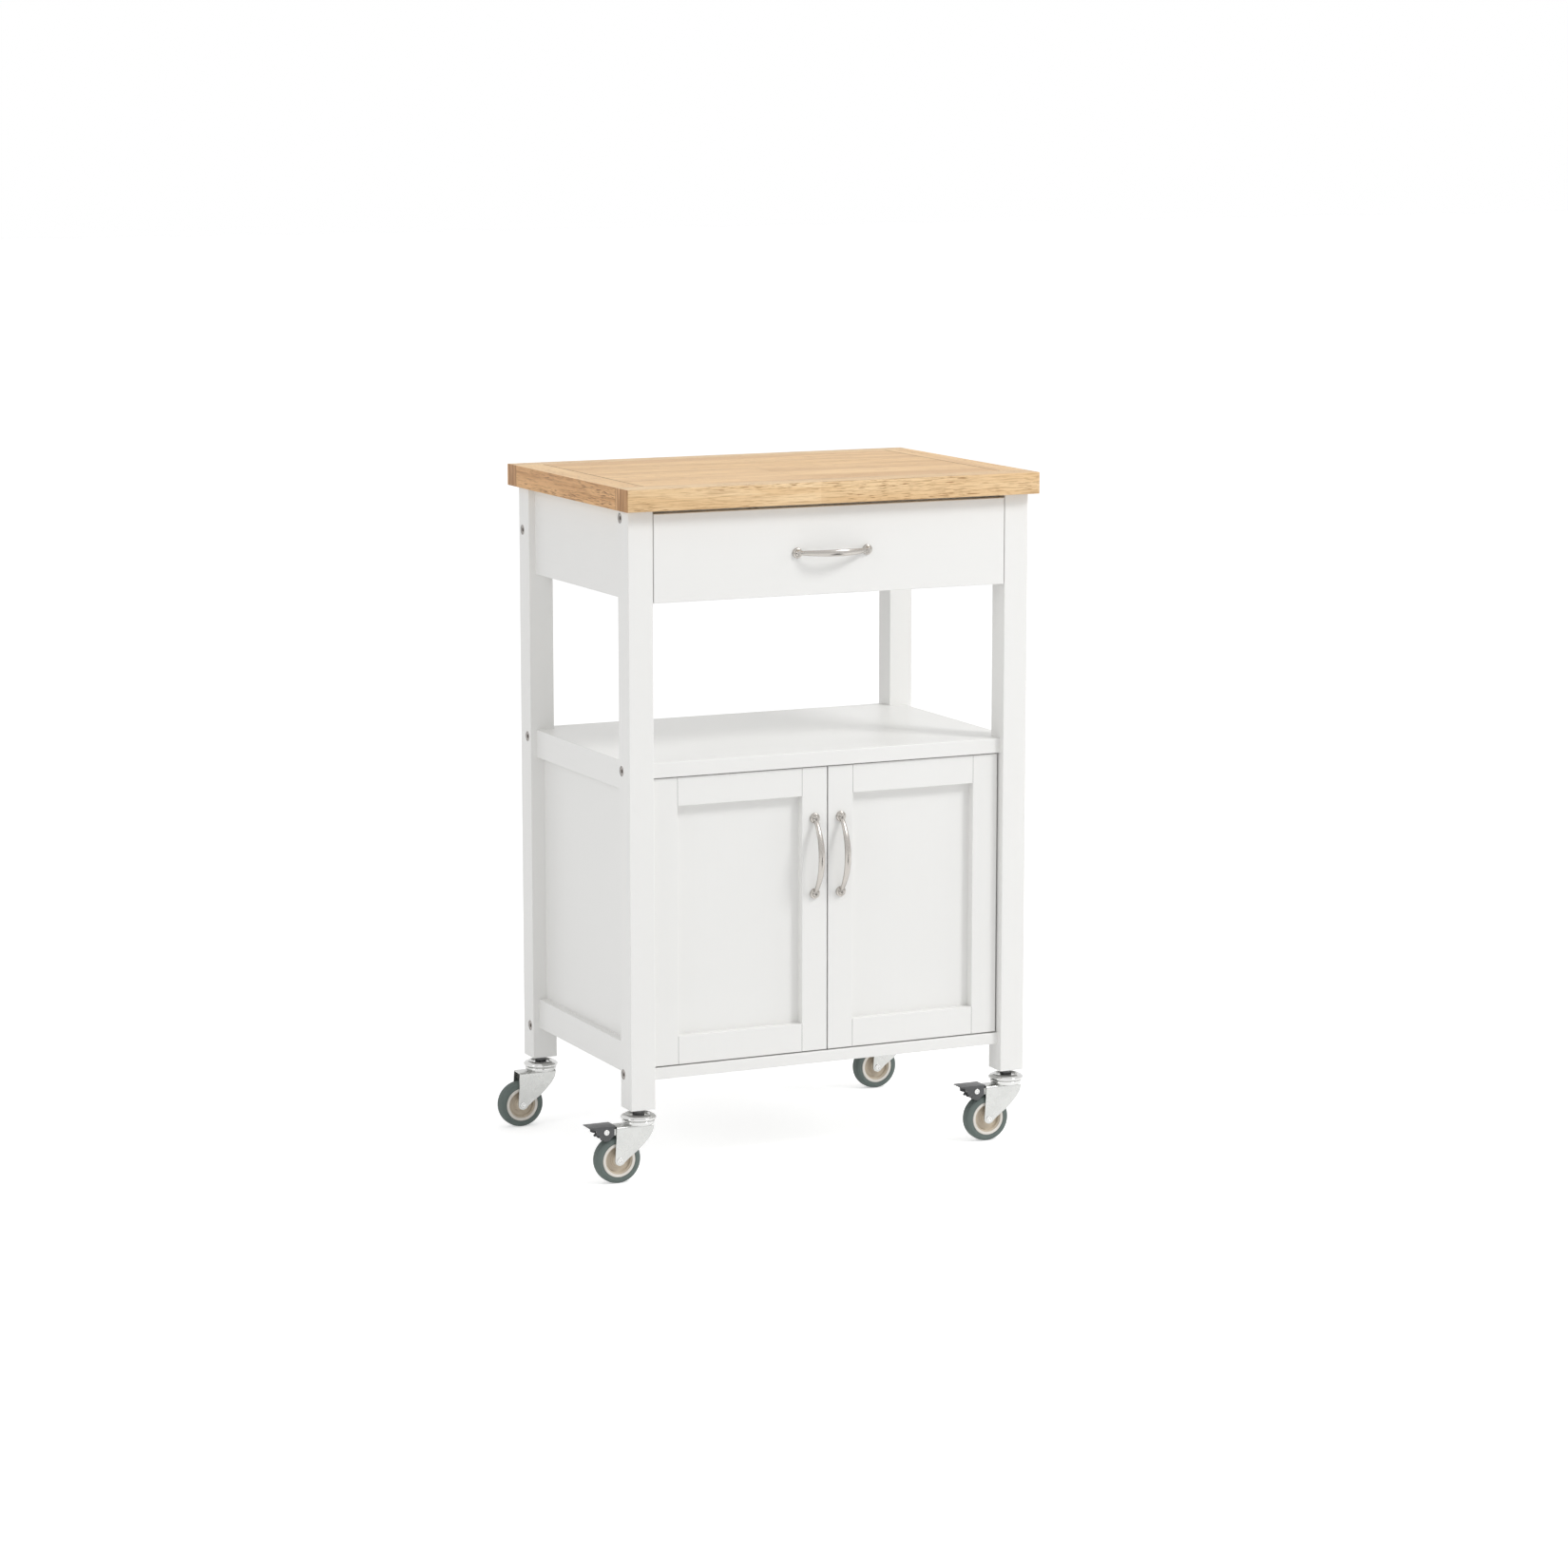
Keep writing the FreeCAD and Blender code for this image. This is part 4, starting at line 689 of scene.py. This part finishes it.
def wheel(name, x, y):
    """A grooved tyre on a hub with a dished face, the dish painted darker as its shade."""
    centre = at(x - TRAIL, y, WHEEL) @ turn_to("y")
    half_tyre = [(23.08, 0.0, 0), (23.08, 8.7, 0.4), (23.7, 9.2, 0.3), (27.6, 9.2, 0.6), (28.2, 8.7, 0.3),
                 (29.4, 8.4, 1.2), (31.0, 6.9, 1.2), (31.35, 5.6, 0.2), (30.85, 5.3, 0.15),
                 (30.85, 4.7, 0.15), (31.6, 4.4, 0.2), (31.7, 2.4, 0.2), (31.1, 2.1, 0.15),
                 (31.1, 1.5, 0.15), (31.75, 1.2, 0.2), (31.75, 0.0, 0)]
    outer = rounded(half_tyre, closed=False, steps=4)
    loop = [(r, h) for r, h in outer] + [(r, -h) for r, h in reversed(outer[1:-1])]
    loop.append(loop[0])
    tyre = Piece(name + "_tyre_rubber", name + "_wheel", "grey_tread", "tread")
    tyre.turned(loop, centre, 96)
    tyre.finish(name + "_tyre", sharp=24)
    half_hub = [(3.06, 9.95, 0), (6.6, 9.95, 0.4), (8.3, 8.9, 0.5), (9.0, 5.2, 0.5), (10.4, 5.0, 0.3),
                (10.8, 3.6, 0.6), (16.2, 3.2, 1.2), (17.2, 6.9, 0.6), (18.7, 7.2, 0.3), (19.1, 8.7, 0.4),
                (22.4, 9.25, 0.5), (23.03, 8.6, 0.2), (23.03, 0.0, 0)]
    outer = rounded(half_hub, closed=False, steps=4)
    loop = [(r, h) for r, h in outer] + [(r, -h) for r, h in reversed(outer[:-1])]
    loop.append(loop[0])
    hub = Piece(name + "_hub_moulding", name + "_wheel", "cream_plastic", "hub_rim", "hub_dish_painted_shade")
    hub.turned(loop, centre, 72)
    # faces inside the dish take the darker second finish: painted shade in the recess
    for face in hub.mesh.faces:
        out = centre.inverted() @ face.calc_center_median()
        if out.xy.length < PAINTED_SHADE_DISH:
            face.material_index = 1
    hub.finish(name + "_hub")


def stems():
    """The cap and the stem of each caster, under its leg."""
    piece = Piece("caster_stem_caps", "frame", "caster_chrome", "chrome", "pressed_steel", "collar_painted_shade")
    for name in CASTERS:
        leg = middle(name + "_leg")
        place = at(leg.x, leg.y, 0)
        piece.turned(rounded([(4.0, 84.3, 0), (22.6, 84.3, 0.4), (23.95, 84.9, 0.7), (24.0, 87.0, 1.6),
                              (21.6, 89.4, 1.8), (17.4, 91.0, 1.2), (15.6, 90.7, 0.6), (14.4, 88.6, 0.7),
                              (7.9, 88.2, 0)], closed=False), place, 72)
        # the collar under the leg, in near-black steel: painted shade and dark reflection under the leg
        piece.turned(rounded([(7.9, 88.0, 0), (7.9, 97.98, 0), (0, 97.98, 0)], closed=False), place, 32, 2)
        piece.turned([(4.0, 84.4), (4.0, 75.3), (7.0, 75.3), (7.0, 73.3), (0, 73.3)], place, 24, 1)
    piece.finish("caster_stems")


def pedal(name, x, y):
    """A foot plate that runs out to a thin lip, on two cheeks with a hook under each."""
    piece = Piece(name + "_pedal_moulding", name + "_pedal", "dark_plastic", "pedal_plastic")
    place = at(x - TRAIL + PIN[0], y, WHEEL + PIN[1]) @ turn_to("-y")
    plate = rounded([(-23.4, 7.7, 0.5), (-23.4, 6.5, 0.5), (-16.0, 5.8, 0), (13.4, 5.8, 0),
                     (13.4, 7.7, 0.4)])
    piece.slab(plate, -12.7, 12.7, place, 0.35)
    cheek = rounded([(11.5, 6.2, 0), (11.5, -5.6, 1.0), (3.6, -11.6, 1.5), (0.4, -12.6, 1.2),
                     (-2.6, -12.6, 0.8), (-5.0, -9.9, 0.8), (-8.0, -10.2, 0.7), (-8.6, -8.2, 0.6),
                     (-5.9, -5.2, 0.8), (-9.4, -4.6, 0.8), (-13.2, -3.2, 0.8), (-13.8, 3.0, 1.0),
                     (-22.0, 6.2, 0.5)])
    for side in (-1, 1):
        low, high = sorted((side * 10.6, side * 12.74))
        piece.slab(cheek, low, high, place, 0.45)
        collar = place @ (turn_to("z") if side > 0 else turn_to("-z"))
        profile = rounded([(6.2, 12.3, 0), (5.6, 12.95, 0.4), (2.9, 12.95, 0)], closed=False)
        piece.turned(profile, collar, 36)
    bar = rounded([(-1.5, -12.6, 0.5), (1.5, -12.6, 0.5), (1.5, -7.4, 0.5), (-1.5, -7.4, 0.5)])
    piece.slab(bar, -10.7, 10.7, place)
    for k in range(5):
        left = -20.5 + k * 3.0
        ridge = [(left, 7.6), (left + 1.2, 7.6), (left + 1.0, 7.74), (left + 0.2, 7.74)]
        piece.slab(ridge, -10.5, 10.5, place)
    piece.finish(name + "_brake_pedal")


stems()
for name in CASTERS:
    leg = middle(name + "_leg")
    braked = name.startswith("front")
    fork(name, leg.x, leg.y, braked)
    rivets(name, leg.x, leg.y, braked)
    wheel(name, leg.x, leg.y)
    if braked:
        pedal(name, leg.x, leg.y)


# ---- hinges: flanges and screws over the plain cups and plates ----

HINGE_HEIGHTS = (212.0, 477.0)
CUP_X, PLATE_X = 233.7, 256.5      # from the cart's middle
PLATE_SCREW_Y = -116.0


def hinge_details():
    """Each cup's flange with its two screws, and the plates' screws."""
    for side, sign in (("left", -1), ("right", 1)):
        piece = Piece(side + "_hinge_flanges", side + "_door", "hinge_steel", "hinge_steel")
        for z in HINGE_HEIGHTS:
            centre = at(MIDDLE_X + sign * CUP_X, DOOR_FACE + STILE_THICK, z)
            for end in (-1, 1):
                lug = rounded([(-6.0, 12.4, 0.5), (6.0, 12.4, 0.5), (6.0, 22.0, 4.0), (-6.0, 22.0, 4.0)])
                lug = [Vector((px, py * end)) for px, py in lug]
                piece.slab(lug, 0.0, 0.9, centre @ turn_to("y"), 0.2)
                spot = centre @ turn_to("y") @ at(0, end * 17.0, 0.9)
                screw_head(piece, spot, 3.2, 1.2, cross(1.8, 0.4), 0.8, 0.6)
        piece.finish()
    piece = Piece("hinge_plate_screws", "frame", "hinge_steel", "hinge_steel")
    for sign in (-1, 1):
        for z in HINGE_HEIGHTS:
            for end in (-1, 1):
                foot = at(MIDDLE_X + sign * PLATE_X, PLATE_SCREW_Y, z + end * 11.5)
                spot = foot @ turn_to("-x" if sign > 0 else "x")
                screw_head(piece, spot, 3.6, 1.4, cross(2.0, 0.45), 0.9, 0.7)
    piece.finish()


hinge_details()


# ---- floor, lamps and camera ----

FLOOR_GLOW = 0.46                  # the floor's own light where it is seen
SKY_LIGHT, SKY_SEEN = 0.64, 1.0    # the world as a light, and as it is seen
LENS = 100.64
CAMERA_PLACE = (-2.46840, -5.36795, 1.46707)
CAMERA_DOWN, CAMERA_TURN = 9.4049, 25.0694      # degrees


def seen_rays(tree):
    """A mask that is one for camera, glossy and transmission rays."""
    path = tree.nodes.new("ShaderNodeLightPath")
    either = tree.nodes.new("ShaderNodeMath")
    either.operation = "MAXIMUM"
    tree.links.new(path.outputs["Is Camera Ray"], either.inputs[0])
    tree.links.new(path.outputs["Is Glossy Ray"], either.inputs[1])
    all_three = tree.nodes.new("ShaderNodeMath")
    all_three.operation = "MAXIMUM"
    tree.links.new(either.outputs["Value"], all_three.inputs[0])
    tree.links.new(path.outputs["Is Transmission Ray"], all_three.inputs[1])
    return all_three.outputs["Value"]


def make_floor():
    """A pale floor that is nearly white where it is seen and keeps the cart's shadow."""
    bpy.ops.mesh.primitive_grid_add(x_subdivisions=8, y_subdivisions=8, size=60)
    floor = bpy.context.object
    floor.name = "studio_floor"
    made = Finish("studio_floor", (0.90, 0.90, 0.90), 0.7, specular=0.1)
    glow = made.node("Emission")
    glow.inputs["Color"].default_value = (1, 1, 1, 1)
    gain = made.node("Math", operation="MULTIPLY")
    gain.inputs[1].default_value = FLOOR_GLOW
    made.link(seen_rays(made.tree), gain, 0)
    made.link(gain.outputs["Value"], glow, "Strength")
    both = made.node("AddShader")
    made.link(made.shader.outputs["BSDF"], both, 0)
    made.link(glow.outputs["Emission"], both, 1)
    made.link(both.outputs["Shader"], made.tree.nodes["Material Output"], "Surface")
    floor.data.materials.append(made.material)


def make_world():
    world = bpy.data.worlds.new("studio")
    bpy.context.scene.world = world
    world.use_nodes = True
    tree = world.node_tree
    background = tree.nodes["Background"]
    background.inputs["Color"].default_value = (1, 1, 1, 1)
    mask = seen_rays(tree)
    light = tree.nodes.new("ShaderNodeMapRange")
    light.inputs["To Min"].default_value = SKY_LIGHT
    light.inputs["To Max"].default_value = SKY_SEEN
    tree.links.new(mask, light.inputs["Value"])
    tree.links.new(light.outputs["Result"], background.inputs["Strength"])


def lamp(name, place, target, size, power, mirrored=True):
    """A round soft lamp that looks at the target. mirrored says whether it shows in reflections."""
    data = bpy.data.lights.new(name, "AREA")
    data.shape = "DISK"
    data.size = size
    data.energy = power
    made = bpy.data.objects.new(name, data)
    bpy.context.scene.collection.objects.link(made)
    made.location = place
    made.rotation_euler = (Vector(place) - Vector(target)).to_track_quat("Z", "Y").to_euler()
    made.visible_camera = False
    made.visible_glossy = mirrored


def make_camera():
    data = bpy.data.cameras.new("photo_camera")
    data.sensor_width = 36
    data.lens = LENS
    data.clip_start = 0.1
    data.clip_end = 100
    camera = bpy.data.objects.new("photo_camera", data)
    bpy.context.scene.collection.objects.link(camera)
    camera.location = CAMERA_PLACE
    camera.rotation_euler = (math.radians(90 - CAMERA_DOWN), 0, math.radians(-CAMERA_TURN))
    bpy.context.scene.camera = camera


def flag(name, place, turn, size):
    """A dark board beside the set. Only reflections show it, so that bright metal gets some contrast."""
    mesh = bpy.data.meshes.new(name)
    x, y = size[0] / 2, size[1] / 2
    shape = bmesh.new()
    corners = ((-x, -y, 0), (x, -y, 0), (x, y, 0), (-x, y, 0))
    shape.faces.new([shape.verts.new(corner) for corner in corners])
    shape.to_mesh(mesh)
    shape.free()
    mesh.materials.append(moulded("flag_cloth_" + name, (0.03, 0.03, 0.03), 0.9, 300, 0.0001))
    made = bpy.data.objects.new(name, mesh)
    bpy.context.scene.collection.objects.link(made)
    made.location = place
    made.rotation_euler = [math.radians(angle) for angle in turn]
    made.visible_camera = made.visible_diffuse = made.visible_shadow = False
    made.visible_transmission = made.visible_volume_scatter = False


make_floor()
make_world()
flag("left_flag", (-1.7, -0.9, 0.6), turn=(90, 0, 115), size=(0.7, 1.6))
flag("low_flag", (0.93, -2.45, 0.03), turn=(0, 0, 22), size=(0.55, 3.1))
lamp("key", (2.4, -2.7, 3.6), (0, 0, 0.5), size=1.3, power=84)
lamp("side", (3.1, -0.8, 1.85), (0, 0, 0.6), size=1.0, power=15, mirrored=False)
lamp("fill", (-3.4, -1.0, 2.2), (0, 0, 0.5), size=2.2, power=19)
make_camera()
bpy.context.scene.view_settings.view_transform = "Standard"
